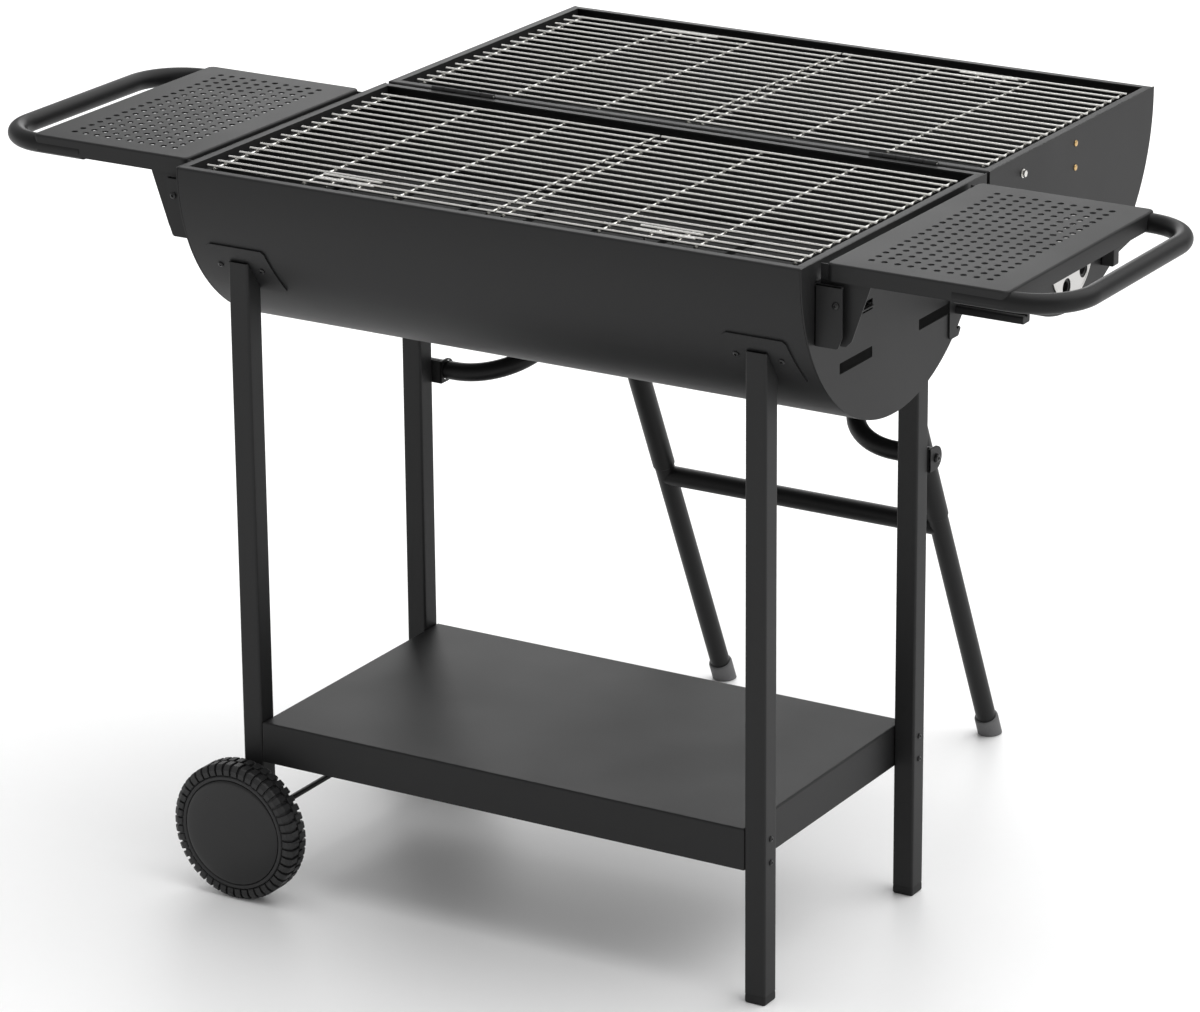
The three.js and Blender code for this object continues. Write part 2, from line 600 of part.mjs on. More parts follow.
for (const [word, y, out] of [
  ["front", WHEEL_FRONT_Y, -1],
  ["rear", WHEEL_BACK_Y, 1],
]) {
  const half = WHEEL_WIDTH / 2;
  const bore = AXLE_RADIUS + AXLE_CLEARANCE;
  const bead = CAP_RADIUS + 2 * GAP;
  // rim, tread, inner side, hub and the web between them, outer side at +half
  const profile = [
    [bore, WEB_FACE],
    [bead, WEB_FACE],
    [bead, half - 1],
    [bead + 2, half],
    [WHEEL_RADIUS - 6, half],
    [WHEEL_RADIUS, half - 9],
    [WHEEL_RADIUS, -half + 9],
    [WHEEL_RADIUS - 6, -half],
    [bead, -half],
    [bead - RIM_WALL, WEB_FACE - RIM_WALL],
    [HUB_RADIUS, WEB_FACE - RIM_WALL],
    [HUB_RADIUS, -half],
    [bore, -half],
    [bore, WEB_FACE],
  ].map(([r, d]) => [r, out * d]);
  add("wheel_" + word, turnedAboutY(out > 0 ? profile.reverse() : profile, axleAt(y), WHEEL_SIDES), "plastic");

  const inside = WEB_FACE + GAP;
  const cap = [
    [0, inside],
    [CAP_RADIUS, inside],
    [CAP_RADIUS, half - 1],
    [CAP_RADIUS * 0.9, half + CAP_DOME * 0.35],
    [CAP_RADIUS * 0.5, half + CAP_DOME * 0.85],
    [0, half + CAP_DOME],
  ].map(([r, d]) => [r, out * d]);
  add("hub_cap_" + word, turnedAboutY(out < 0 ? cap.reverse() : cap, axleAt(y), WHEEL_SIDES), "plastic");
}

// ---------- side tables ----------
for (const [word, side] of SIDES) {
  const flangeZ = [TABLE_TOP - TABLE_FLANGE, TABLE_TOP];
  const across = [TABLE_FRONT, TABLE_BACK];
  const wide = (a, b) => span(side, a, b);
  const top = block(wide(TABLE_INNER, TABLE_OUTER), across, [TABLE_TOP - SHEET, TABLE_TOP]);
  const front = block(wide(TABLE_INNER, TABLE_OUTER), [TABLE_FRONT, TABLE_FRONT + SHEET], flangeZ);
  const back = block(wide(TABLE_INNER, TABLE_OUTER), [TABLE_BACK - SHEET, TABLE_BACK], flangeZ);
  const inner = block(wide(TABLE_INNER, TABLE_INNER + SHEET), across, flangeZ);
  const corner = SHEET + 2 * (HANDLE_RADIUS + GAP) + GAP;
  const outer = block(wide(TABLE_OUTER - SHEET, TABLE_OUTER), [TABLE_FRONT + corner, TABLE_BACK - corner], flangeZ);

  // tapered gussets under both ends of the table, behind the brackets on the barrel
  const gussetTip = 8;
  const gusset = polygon(
    [
      [HALF + SHEET + 2 * GAP, TABLE_TOP - SHEET],
      [HALF + SHEET + 2 * GAP, GUSSET_FOOT],
      [GUSSET_BOTTOM - gussetTip, GUSSET_FOOT],
      [GUSSET_BOTTOM - gussetTip / 2, GUSSET_FOOT + gussetTip * 0.8],
      [GUSSET_BOTTOM, GUSSET_FOOT + gussetTip],
      [GUSSET_TOP, TABLE_TOP - TABLE_FLANGE],
      [GUSSET_TOP, TABLE_TOP - SHEET],
    ].map(([x, z]) => [side * x, z]),
  );
  const stand = 4 * SHEET;
  const gussets = [];
  for (const y of [TABLE_FRONT + stand, TABLE_BACK - stand])
    gussets.push(alongY(gusset, y < TABLE_Y ? [y - SHEET, y] : [y, y + SHEET]));
  const table = join(top, front, back, inner, outer, ...gussets);

  const screwX = side * (HALF + BRACKET_WIDTH * 0.76);
  const screwZ = BRACKET_TOP - 24;
  const screwHole = (y0, y1) => rod(BRACKET_SCREW_RADIUS, [screwX, y0, screwZ], [screwX, y1, screwZ]);
  const everyScrew = screwHole(TABLE_FRONT - 20, TABLE_BACK + 20);
  add("side_table_" + word, cut(table, everyScrew), "coat");

  // Brackets on the barrel's end plate: a web in front of the gusset, a flange on the plate and a folded top.
  for (const [place, face, inwards] of [
    ["front", TABLE_FRONT - 1.5 * SHEET, 1],
    ["rear", TABLE_BACK + 1.5 * SHEET, -1],
  ]) {
    const depth = (d) => (inwards > 0 ? [face, face + d] : [face - d, face]);
    const tall = [GUSSET_FOOT - 1, BRACKET_TOP];
    const start = HALF + GAP;
    const web = block(wide(start, start + BRACKET_WIDTH), depth(SHEET), tall);
    const flange = block(wide(start, start + SHEET), depth(BRACKET_DEPTH), tall);
    const fold = block(wide(start, start + BRACKET_WIDTH), depth(2 * SHEET), [BRACKET_TOP - SHEET, BRACKET_TOP]);
    add("table_bracket_" + place + "_" + word, cut(join(web, flange, fold), everyScrew), "coat");
  }

  const legY = HANDLE_RADIUS + SHEET + GAP;
  const corner3 = (x, y) => [side * x, y, HANDLE_Z];
  const loop = [
    corner3(HANDLE_ROOT, TABLE_FRONT + legY),
    corner3(HANDLE_REACH, TABLE_FRONT + legY),
    corner3(HANDLE_REACH, TABLE_BACK - legY),
    corner3(HANDLE_ROOT, TABLE_BACK - legY),
  ];
  add("table_handle_" + word, bentTube(loop, HANDLE_BEND, HANDLE_RADIUS), "tube");
}

// ---------- hook on the right-hand end plate ----------
const hookPlate = new THREE.Shape();
hookPlate.moveTo(HOOK_BACK - HOOK_WIDTH, HOOK_TOP);
hookPlate.lineTo(HOOK_BACK - HOOK_WIDTH, HOOK_BOTTOM + 4);
hookPlate.lineTo(HOOK_BACK - HOOK_WIDTH + 4, HOOK_BOTTOM);
hookPlate.lineTo(HOOK_BACK - 10, HOOK_BOTTOM);
hookPlate.lineTo(HOOK_BACK - 4, HOOK_BOTTOM + 9);
hookPlate.lineTo(HOOK_BACK - 8, HOOK_BOTTOM + 13);
hookPlate.lineTo(HOOK_BACK - 14, HOOK_BOTTOM + 9);
hookPlate.lineTo(HOOK_BACK - 16, HOOK_BOTTOM + 13);
hookPlate.lineTo(HOOK_BACK, HOOK_ARM_HEIGHT + HOOK_ARM_SIZE[1]);
hookPlate.lineTo(HOOK_BACK, HOOK_TOP);
const hookStart = HALF + GAP;
const armTop = HOOK_ARM_HEIGHT + HOOK_ARM_SIZE[1];
const hookArm = block([hookStart, hookStart + HOOK_ARM], [HOOK_BACK - HOOK_ARM_SIZE[0], HOOK_BACK], [HOOK_ARM_HEIGHT, armTop]);
add("side_hook", join(alongX(hookPlate, [hookStart, hookStart + SHEET]), hookArm), "coat");

// ---------- rear support frame ----------
const lean = THREE.MathUtils.degToRad(PROP_LEAN);
const rise = THREE.MathUtils.degToRad(ARM_RISE);
const propAt = (x, z) => [x, PROP_FOOT_Y - z * Math.tan(lean), z];
const CHEEK_OUTER = LEG_SPREAD + GAP;

for (const [word, side] of SIDES) {
  const cheekShape = new THREE.Shape();
  cheekShape.moveTo(LEG_BACK + GAP, PIVOT_Z + EAR_RADIUS);
  cheekShape.lineTo(LEG_BACK + GAP, PIVOT_Z - EAR_RADIUS);
  cheekShape.lineTo(PIVOT_Y, PIVOT_Z - EAR_RADIUS);
  cheekShape.absarc(PIVOT_Y, PIVOT_Z, EAR_RADIUS, -Math.PI / 2, Math.PI / 2, false);
  const outerCheek = alongX(cheekShape, span(side, CHEEK_OUTER, CHEEK_OUTER + EAR_PLATE), 12);
  const innerCheek = alongX(cheekShape, span(side, EAR_INNER, EAR_INNER + EAR_PLATE), 12);
  const back = block(
    span(side, EAR_INNER, CHEEK_OUTER + EAR_PLATE),
    [LEG_BACK + GAP, LEG_BACK + GAP + EAR_PLATE / 2],
    [PIVOT_Z - EAR_RADIUS, PIVOT_Z + EAR_RADIUS],
  );
  const pivot = (x) => [side * x, PIVOT_Y, PIVOT_Z];
  const sleeveHole = rod(ARM_RADIUS + EAR_PLAY, pivot(EAR_INNER - 1), pivot(EAR_INNER + EAR_PLATE + 1));
  const boltHole = rod(BOLT_RADIUS + GAP, pivot(CHEEK_OUTER - 1), pivot(CHEEK_OUTER + EAR_PLATE + 1));
  add("support_ear_" + word, cut(join(outerCheek, innerCheek, back), sleeveHole, boltHole), "coat");

  const shank = rod(BOLT_RADIUS, pivot(CHEEK_OUTER - 22), pivot(CHEEK_OUTER + EAR_PLATE + 4));
  const head = rod(BOLT_HEAD, pivot(CHEEK_OUTER + EAR_PLATE + GAP), pivot(CHEEK_OUTER + EAR_PLATE + 4), 6);
  add("support_pivot_bolt_" + word, join(shank, head), "steel");

  // The arm leaves the ear along X, bends back and rises to the sloping sleeve that it is welded to.
  const armEnd = [
    side * ARM_X,
    PIVOT_Y + ARM_REACH * Math.cos(rise),
    PIVOT_Z + ARM_REACH * Math.sin(rise),
  ];
  const armPath = [pivot(CHEEK_OUTER - GAP), pivot(ARM_X), armEnd];
  const sleeve = rod(SLEEVE_RADIUS, propAt(side * PROP_X, SLEEVE_END), propAt(side * PROP_X, PROP_TOP), 16);
  const arm = swept(roundedPath(armPath, ARM_BEND), ARM_RADIUS);
  const sleeveBore = rod(
    LOWER_RADIUS + GAP,
    propAt(side * PROP_X, SLEEVE_END - 1),
    propAt(side * PROP_X, SLEEVE_END + LOWER_INSERT + 4),
    16,
  );
  const armBore = rod(ARM_RADIUS - TUBE_WALL, pivot(CHEEK_OUTER + 1), pivot(ARM_X + ARM_BEND));
  add("support_arm_" + word, cut(join(arm, sleeve), sleeveBore, armBore), "tube");
}

// The lower frame: two legs that plug into the sleeves, joined by a crossbar.
const lowerLeg = (side, radius, from, to) => rod(radius, propAt(side * PROP_X, from), propAt(side * PROP_X, to), 16);
const FOOT_BORE = 8; // height above the floor at which a leg ends, inside its foot
const lowerTop = SLEEVE_END + LOWER_INSERT;
const crossbarY = propAt(0, CROSSBAR_HEIGHT)[1];
const crossbar = rod(
  LOWER_RADIUS,
  [-PROP_X, crossbarY, CROSSBAR_HEIGHT],
  [PROP_X, crossbarY, CROSSBAR_HEIGHT],
);
const lowerBores = [-1, 1].map((side) => lowerLeg(side, LOWER_RADIUS - TUBE_WALL, FOOT_BORE - 20, lowerTop + 20));
const lowerFrame = join(lowerLeg(-1, LOWER_RADIUS, FOOT_BORE, lowerTop), lowerLeg(1, LOWER_RADIUS, FOOT_BORE, lowerTop), crossbar);
add("support_lower_frame", cut(lowerFrame, ...lowerBores), "tube");

for (const [word, side] of SIDES) {
  const body = lowerLeg(side, FOOT_RADIUS, -30, FOOT_HEIGHT);
  const floor = block(
    [-HALF, HALF],
    [PROP_FOOT_Y - 10 * FOOT_RADIUS, PROP_FOOT_Y + 10 * FOOT_RADIUS],
    [-10 * FOOT_RADIUS, 0],
  );
  const socket = lowerLeg(side, LOWER_RADIUS + GAP, FOOT_BORE - GAP, FOOT_HEIGHT + 20);
  add("support_foot_" + word, cut(body, floor, socket), "rubber");
}

// ---------- lid handle ----------
// A bar along the lid, held off its skin by an arm bolted to each end plate.
const handleAngle = THREE.MathUtils.degToRad(LID_HANDLE_ANGLE);
const handleY = LID_Y + (BOWL_RADIUS + LID_HANDLE_STAND) * Math.cos(handleAngle);
const handleZ = ARC_Z - (BOWL_RADIUS + LID_HANDLE_STAND) * Math.sin(handleAngle);
const armThick = 1.5 * SHEET;
const footY = [LID_Y + LID_FOOT_Y, LID_Y + LID_FOOT_Y + LID_FOOT_SIZE[0]];
const footZ = [ARC_Z - LID_FOOT_DROP, ARC_Z - LID_FOOT_DROP + LID_FOOT_SIZE[1]];
const half = LID_ARM_WIDTH / 2;
const arm = polygon([
  [footY[0], footZ[0]],
  [footY[1] + 4, footZ[0]],
  [handleY + half / 2, handleZ - half],
  [handleY + half, handleZ - half / 2],
  [handleY + half, handleZ + half / 2],
  [handleY + half / 2, handleZ + half],
  [footY[0], footZ[1]],
]);
const bar = (radius, reach, sides) => rod(radius, [-reach, handleY, handleZ], [reach, handleY, handleZ], sides);

for (const [word, side] of SIDES) {
  const start = HALF + GAP;
  const web = alongX(arm, span(side, start, start + armThick));
  const foot = block(span(side, start, start + LID_FOOT_DEPTH), footY, footZ);
  const chamfer = alongY(
    polygon([
      [side * (start - 1), footZ[1] + 1],
      [side * (start - 1), footZ[1] - 8],
      [side * (start + armThick), footZ[1] - 8],
      [side * (start + LID_FOOT_DEPTH / 2), footZ[1] + 1],
    ]),
    [footY[0] - 1, footY[1] + 1],
  );
  const bracket = join(cut(foot, chamfer), web);
  add("lid_handle_bracket_" + word, cut(bracket, bar(LID_HANDLE_RADIUS + GAP, HALF + 20, 16)), "coat");
}
add("lid_handle", bar(LID_HANDLE_RADIUS, HALF + GAP + armThick + 2, 16), "tube");

export default root;
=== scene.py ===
# %% [markdown]
# # A barrel charcoal grill whose lid opens into a second grill
# Half of a steel barrel stands on a cart. Its lid is the same half barrel, hinged at the back. Turned
# right over, it lies beside the barrel and cooks too. The frame that comes first holds every part at its
# true size and place, in metres: X along the barrel, Y from the front to the back, Z up. The cells below
# give those parts their finish.

# %% Load the frame
import math

import bmesh
import bpy
import numpy as np
from mathutils import Matrix, Vector


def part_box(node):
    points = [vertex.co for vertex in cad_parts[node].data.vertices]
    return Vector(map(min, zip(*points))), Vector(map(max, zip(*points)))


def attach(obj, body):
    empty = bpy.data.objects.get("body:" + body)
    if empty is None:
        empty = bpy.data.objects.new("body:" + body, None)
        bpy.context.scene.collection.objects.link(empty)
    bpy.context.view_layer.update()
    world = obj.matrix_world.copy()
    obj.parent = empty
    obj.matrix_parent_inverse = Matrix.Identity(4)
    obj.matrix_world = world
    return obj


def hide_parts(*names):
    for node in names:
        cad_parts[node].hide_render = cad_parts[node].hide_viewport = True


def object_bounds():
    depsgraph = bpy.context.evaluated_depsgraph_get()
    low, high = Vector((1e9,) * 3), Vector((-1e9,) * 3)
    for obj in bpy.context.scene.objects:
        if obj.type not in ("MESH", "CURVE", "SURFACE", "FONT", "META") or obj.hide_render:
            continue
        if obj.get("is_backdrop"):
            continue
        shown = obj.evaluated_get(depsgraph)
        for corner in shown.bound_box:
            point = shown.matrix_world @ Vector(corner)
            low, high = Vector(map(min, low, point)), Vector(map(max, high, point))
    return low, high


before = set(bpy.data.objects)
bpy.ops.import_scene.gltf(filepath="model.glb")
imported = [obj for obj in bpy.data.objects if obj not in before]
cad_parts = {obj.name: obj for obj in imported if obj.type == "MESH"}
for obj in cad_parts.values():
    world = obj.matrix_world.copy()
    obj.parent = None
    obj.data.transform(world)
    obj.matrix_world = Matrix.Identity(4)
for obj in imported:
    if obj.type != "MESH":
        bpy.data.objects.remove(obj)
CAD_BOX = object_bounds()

# %% [markdown]
# Sheet metal and tube are sold in millimetres, so the cells think in millimetres, and every mesh is
# turned to metres in one place. Places are read from the frame's parts, so that a changed part takes its
# finish with it.

# %% Sizes in millimetres
SHEET = 2.0
GAP = 0.3
SIDES = (("left", -1), ("right", 1))


def box(node):
    """A part's lowest and highest corners: x0, y0, z0, x1, y1, z1."""
    low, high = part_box(node)
    return [1000 * v for v in (*low, *high)]


def middle(node):
    """The middle of a part's box."""
    b = box(node)
    return [(b[k] + b[k + 3]) / 2 for k in range(3)]


def from_middle(b):
    """How far a left or a right part's near and far faces are from the middle."""
    return sorted((abs(b[0]), abs(b[3])))


BARREL = box("barrel_shell")
END_FACE = box("barrel_end_right")[3]
RIM = BARREL[5]
RADIUS = (BARREL[4] - BARREL[1]) / 2
BARREL_Y = middle("barrel_shell")[1]
LID_Y = middle("lid_shell")[1]
ARC_Z = BARREL[2] + RADIUS
HINGE_Y = middle("hinge_pin_left")[1]
print(f"barrel radius {RADIUS:.1f} mm, rim {RIM:.0f} mm above the floor, arc centre {ARC_Z:.0f} mm")

# %% [markdown]
# ## Node trees
# A finish is a tree of nodes, and so is a pattern that repeats. Both are easier to read as sums than as
# boxes and wires. `Value` wraps one socket, and `a * b + c` on it adds the Math nodes. Every other node
# comes from `Tree.node`, which takes its type, its settings and what its sockets hold.

# %% Node trees as expressions
class Value:
    """One output socket. Arithmetic on it adds Math nodes to its tree."""

    def __init__(self, tree, socket):
        self.tree = tree
        self.socket = socket

    def combine(self, operation, first, second):
        return self.tree.node(self.tree.MATH, {"operation": operation}, {0: first, 1: second})

    def __add__(self, other):
        return self.combine("ADD", self, other)

    def __radd__(self, other):
        return self.combine("ADD", other, self)

    def __sub__(self, other):
        return self.combine("SUBTRACT", self, other)

    def __rsub__(self, other):
        return self.combine("SUBTRACT", other, self)

    def __mul__(self, other):
        return self.combine("MULTIPLY", self, other)

    def __rmul__(self, other):
        return self.combine("MULTIPLY", other, self)


class Tree:
    """A node tree that is being built."""

    MATH = "ShaderNodeMath"

    def __init__(self, tree):
        self.tree = tree

    def feed(self, socket, value):
        if isinstance(value, Value):
            self.tree.links.new(value.socket, socket)
        else:
            socket.default_value = value

    def node(self, kind, settings=None, sockets=None, output=0):
        made = self.tree.nodes.new(kind)
        for name, value in (settings or {}).items():
            if name == "stops":
                ramp = made.color_ramp
                while len(ramp.elements) < len(value):
                    ramp.elements.new(1.0)
                for element, (position, grey) in zip(ramp.elements, value):
                    element.position = position
                    element.color = (grey, grey, grey, 1)
            else:
                setattr(made, name, value)
        for name, value in (sockets or {}).items():
            self.feed(made.inputs[name], value)
        return Value(self, made.outputs[output])


# %% [markdown]
# ## Finishes
# Powder coat is a baked skin of fine grains: nearly even in colour, softly uneven in gloss, with a
# shallow orange-peel surface a millimetre or so across. Two scales of noise give that, one for the tone
# that drifts over a hand's width and one for the peel. Bright wire, stainless steel, zinc and brass are
# metals whose gloss wanders and which carry the drawing or rolling marks along one direction. Plastic and
# rubber are dull with a moulded grain.

# %% Finishes from noise and bump
class Finish(Tree):
    """A material whose colour, gloss and surface vary a little over the piece."""

    def __init__(self, name, colour, roughness, metallic=0.0, **constant):
        self.material = bpy.data.materials.new(name)
        self.material.use_nodes = True
        self.material.diffuse_color = (*colour, 1)
        super().__init__(self.material.node_tree)
        self.shader = self.tree.nodes["Principled BSDF"]
        self.colour = colour
        self.roughness = roughness
        self.shader.inputs["Metallic"].default_value = metallic
        for socket, value in constant.items():
            self.shader.inputs[socket.replace("_", " ")].default_value = value
        self.place = self.node("ShaderNodeTexCoord", output="Object")

    def stretched(self, x, y, z):
        """The place on the piece, scaled so that a pattern runs along its least scaled direction."""
        return self.node("ShaderNodeMapping", None, {"Vector": self.place, "Scale": (x, y, z)})

    def noise(self, scale, detail=2.0, rough=0.5, place=None):
        return self.node(
            "ShaderNodeTexNoise",
            None,
            {"Vector": place or self.place, "Scale": scale, "Detail": detail, "Roughness": rough},
        )

    def cells(self, scale):
        return self.node("ShaderNodeTexVoronoi", None, {"Vector": self.place, "Scale": scale})

    def tint(self, amount, low=0.85, high=1.15):
        """The finish's colour, from low to high times itself as amount goes from 0 to 1."""
        mixed = self.node(
            "ShaderNodeMix",
            {"data_type": "RGBA"},
            {
                0: amount,
                6: (*[low * c for c in self.colour], 1),
                7: (*[high * c for c in self.colour], 1),
            },
            output=2,
        )
        self.feed(self.shader.inputs["Base Color"], mixed)
        return self

    def gloss(self, amount, spread):
        self.feed(self.shader.inputs["Roughness"], (amount - 0.5) * spread + self.roughness)
        return self

    def relief(self, height, depth, strength=0.5):
        """Bumps of that depth in metres."""
        bump = self.node(
            "ShaderNodeBump", None, {"Height": height, "Strength": strength, "Distance": depth}
        )
        self.feed(self.shader.inputs["Normal"], bump)
        return self


def powder_coat(name, colour, roughness, peel, depth, **constant):
    finish = Finish(name, colour, roughness, **constant)
    drift = finish.noise(7, 3)
    grain = finish.noise(peel, 2, 0.6)
    finish.tint(drift * 0.7 + grain * 0.3, 0.78, 1.22)
    finish.gloss(drift * 0.6 + grain * 0.4, 0.16)
    finish.relief(grain, depth)
    return finish.material


def drawn_metal(name, colour, roughness, grain, marks, **constant):
    finish = Finish(name, colour, roughness, 1.0, **constant)
    streaks = finish.noise(grain, 3, 0.6, finish.stretched(*marks))
    cloud = finish.noise(18, 2)
    finish.tint(cloud * 0.5 + streaks * 0.5, 0.82, 1.12)
    finish.gloss(cloud * 0.4 + streaks * 0.6, 0.22)
    finish.relief(streaks, 0.00003, 0.35)
    return finish.material


def moulded(name, colour, roughness, grain, depth, **constant):
    finish = Finish(name, colour, roughness, **constant)
    leather = finish.cells(grain)
    cloud = finish.noise(30, 3)
    finish.tint(cloud * 0.6 + leather * 0.4, 0.75, 1.25)
    finish.gloss(cloud, 0.14)
    finish.relief(leather, depth, 0.4)
    return finish.material


SHEET_COAT = powder_coat(
    "sheet_powder_coat", (0.0125, 0.0125, 0.0128), 0.5, 900, 0.00005, Specular_IOR_Level=0.27
)
TUBE_COAT = powder_coat(
    "tube_powder_coat", (0.008, 0.008, 0.0082), 0.42, 700, 0.00003, Specular_IOR_Level=0.2
)
BRIGHT_WIRE = drawn_metal("nickel_wire", (0.8, 0.79, 0.76), 0.24, 220, (1, 12, 12))
STAINLESS = drawn_metal("stainless_sheet", (0.56, 0.552, 0.54), 0.3, 160, (1, 1, 14))
ZINC = drawn_metal("bright_zinc", (0.7, 0.69, 0.66), 0.28, 300, (6, 6, 6))
BRASS = drawn_metal("brass_rivet", (0.62, 0.42, 0.19), 0.3, 300, (6, 6, 6))
BLACK_SCREW = powder_coat(
    "black_screw", (0.005, 0.005, 0.0052), 0.32, 1200, 0.00002, Specular_IOR_Level=0.4
)
WHEEL_PLASTIC = moulded("wheel_plastic", (0.018, 0.018, 0.0185), 0.5, 700, 0.00008, Specular_IOR_Level=0.35)
HUB_PLASTIC = moulded("hub_plastic", (0.006, 0.006, 0.0062), 0.24, 1500, 0.00002, Specular_IOR_Level=0.4)
CAP_PLASTIC = moulded("cap_plastic", (0.007, 0.007, 0.0073), 0.55, 900, 0.00005, Specular_IOR_Level=0.3)
FOOT_RUBBER = moulded("foot_rubber", (0.12, 0.12, 0.122), 0.62, 600, 0.00008, Specular_IOR_Level=0.3)
print(len(bpy.data.materials), "finishes")

# %% [markdown]
# ## Making metal
# Four ways of working make almost every piece. Sheet is cut to an outline with holes and has a thickness.
# Tube is bent: its round section follows a line with rounded corners. A turned part is a profile spun
# about an axis. A pressed tray is one sheet folded down all round. Each returns a bare mesh, in metres,
# and `add_piece` joins such meshes into a piece, keeps its flat faces flat beside small rounded edges,
# and lets it ride on its body.

# %% Outlines with rounded corners
def fillet(points, bend, steps=6, closed=False):
    """A line through points whose corners are rounded. bend is one radius, or one for each corner."""
    line = [Vector(p) for p in points]
    count = len(line)
    bends = bend if isinstance(bend, (list, tuple)) else [bend] * count
    made = []
    for k, here in enumerate(line):
        ends = not closed and k in (0, count - 1)
        if ends or bends[k] <= 0:
            made.append(here)
            continue
        back = (line[k - 1] - here).normalized()
        on = (line[(k + 1) % count] - here).normalized()
        half = back.angle(on) / 2
        if half > math.pi / 2 - 0.01:
            made.append(here)
            continue
        centre = here + (back + on).normalized() * bends[k] / math.sin(half)
        start = here + back * bends[k] / math.tan(half) - centre
        end = here + on * bends[k] / math.tan(half) - centre
        turn = start.angle(end)
        for i in range(steps + 1):
            share = i / steps
            arm = start * math.sin((1 - share) * turn) + end * math.sin(share * turn)
            made.append(centre + arm / math.sin(turn))
    return made


def arc(centre, radius, first, last, steps):
    """Points on a circle, from the first angle to the last, in degrees."""
    turns = [math.radians(first + (last - first) * k / steps) for k in range(steps + 1)]
    return [(centre[0] + radius * math.cos(t), centre[1] + radius * math.sin(t)) for t in turns]


def rectangle(x0, x1, y0, y1, corner=0.0, steps=4):
    corners = [(x0, y0), (x1, y0), (x1, y1), (x0, y1)]
    return fillet(corners, corner, steps, closed=True) if corner else corners


# %% Cut sheet
# Where each direction of a drawing goes: its two axes, then the sheet's thickness.
PLANES = {
    "yz": Matrix(((0, 0, 1), (1, 0, 0), (0, 1, 0))),
    "xz": Matrix(((1, 0, 0), (0, 0, -1), (0, 1, 0))),
    "xy": Matrix.Identity(3),
}


def plain_mesh(holder):
    """An object's shape after its modifiers, as a mesh of its own. The object goes."""
    bpy.context.view_layer.update()
    graph = bpy.context.evaluated_depsgraph_get()
    mesh = bpy.data.meshes.new_from_object(holder.evaluated_get(graph))
    bpy.data.objects.remove(holder)
    return mesh


MERGED = 1e-6  # metres


def closed_up(mesh):
    """Merges doubled points and turns every face outwards."""
    work = bmesh.new()
    work.from_mesh(mesh)
    bmesh.ops.remove_doubles(work, verts=work.verts, dist=MERGED)
    bmesh.ops.dissolve_degenerate(work, edges=work.edges, dist=MERGED)
    bmesh.ops.recalc_face_normals(work, faces=work.faces)
    work.to_mesh(mesh)
    work.free()
    return mesh


def cut_sheet(loops, plane, interval, rim=0.35):
    """A plate in a plane: the first loop is its outline and the others are holes. rim rounds its edges."""
    low, high = sorted(interval)
    curve = bpy.data.curves.new("outline", "CURVE")
    curve.dimensions = "2D"
    curve.fill_mode = "BOTH"
    curve.extrude = (high - low) / 2 - rim
    curve.bevel_depth = rim
    curve.bevel_resolution = 1
    curve.offset = -rim
    for loop in loops:
        spline = curve.splines.new("POLY")
        spline.points.add(len(loop) - 1)
        for point, at in zip(spline.points, loop):
            point.co = (at[0], at[1], 0, 1)
        spline.use_cyclic_u = True
    holder = bpy.data.objects.new("outline", curve)
    bpy.context.scene.collection.objects.link(holder)
    mesh = plain_mesh(holder)
    turn = PLANES[plane]
    along = turn @ Vector((0, 0, 1))
    shift = Vector([abs(v) * (low + high) / 2 for v in along])
    mesh.transform(Matrix.Scale(0.001, 4) @ Matrix.Translation(shift) @ turn.to_4x4())
    return closed_up(mesh)


# %% Bent tube and turned parts
def raw_mesh(points, faces=()):
    """A mesh of points in millimetres, as they are."""
    mesh = bpy.data.meshes.new("shape")
    mesh.from_pydata([tuple(0.001 * c for c in p) for p in points], [], faces)
    return mesh


def mesh_of(points, faces):
    return closed_up(raw_mesh(points, faces))


def ring_faces(first, second, count):
    return [
        (first + k, first + (k + 1) % count, second + (k + 1) % count, second + k) for k in range(count)
    ]


def bent_tube(line, radius, sides=24, bulge=0.0):
    """A round section that follows a line. Its ends are closed, and may bulge."""
    line = [Vector(p) for p in line]
    points, faces, rows = [], [], []
    across = None
    for k, here in enumerate(line):
        back = (here - line[k - 1]).normalized() if k else None
        on = (line[k + 1] - here).normalized() if k + 1 < len(line) else None
        along = ((back or on) + (on or back)).normalized()
        if across is None:
            across = along.orthogonal().normalized()
        across = (across - along * across.dot(along)).normalized()
        other = along.cross(across)
        rows.append(len(points))
        for s in range(sides):
            t = 2 * math.pi * s / sides
            points.append(here + radius * (math.cos(t) * across + math.sin(t) * other))
        if k:
            faces += ring_faces(rows[-2], rows[-1], sides)
    for row, end, inner in ((rows[0], line[0], line[1]), (rows[-1], line[-1], line[-2])):
        points.append(end + (end - inner).normalized() * bulge)
        faces += [(row + s, row + (s + 1) % sides, len(points) - 1) for s in range(sides)]
    return mesh_of(points, faces)


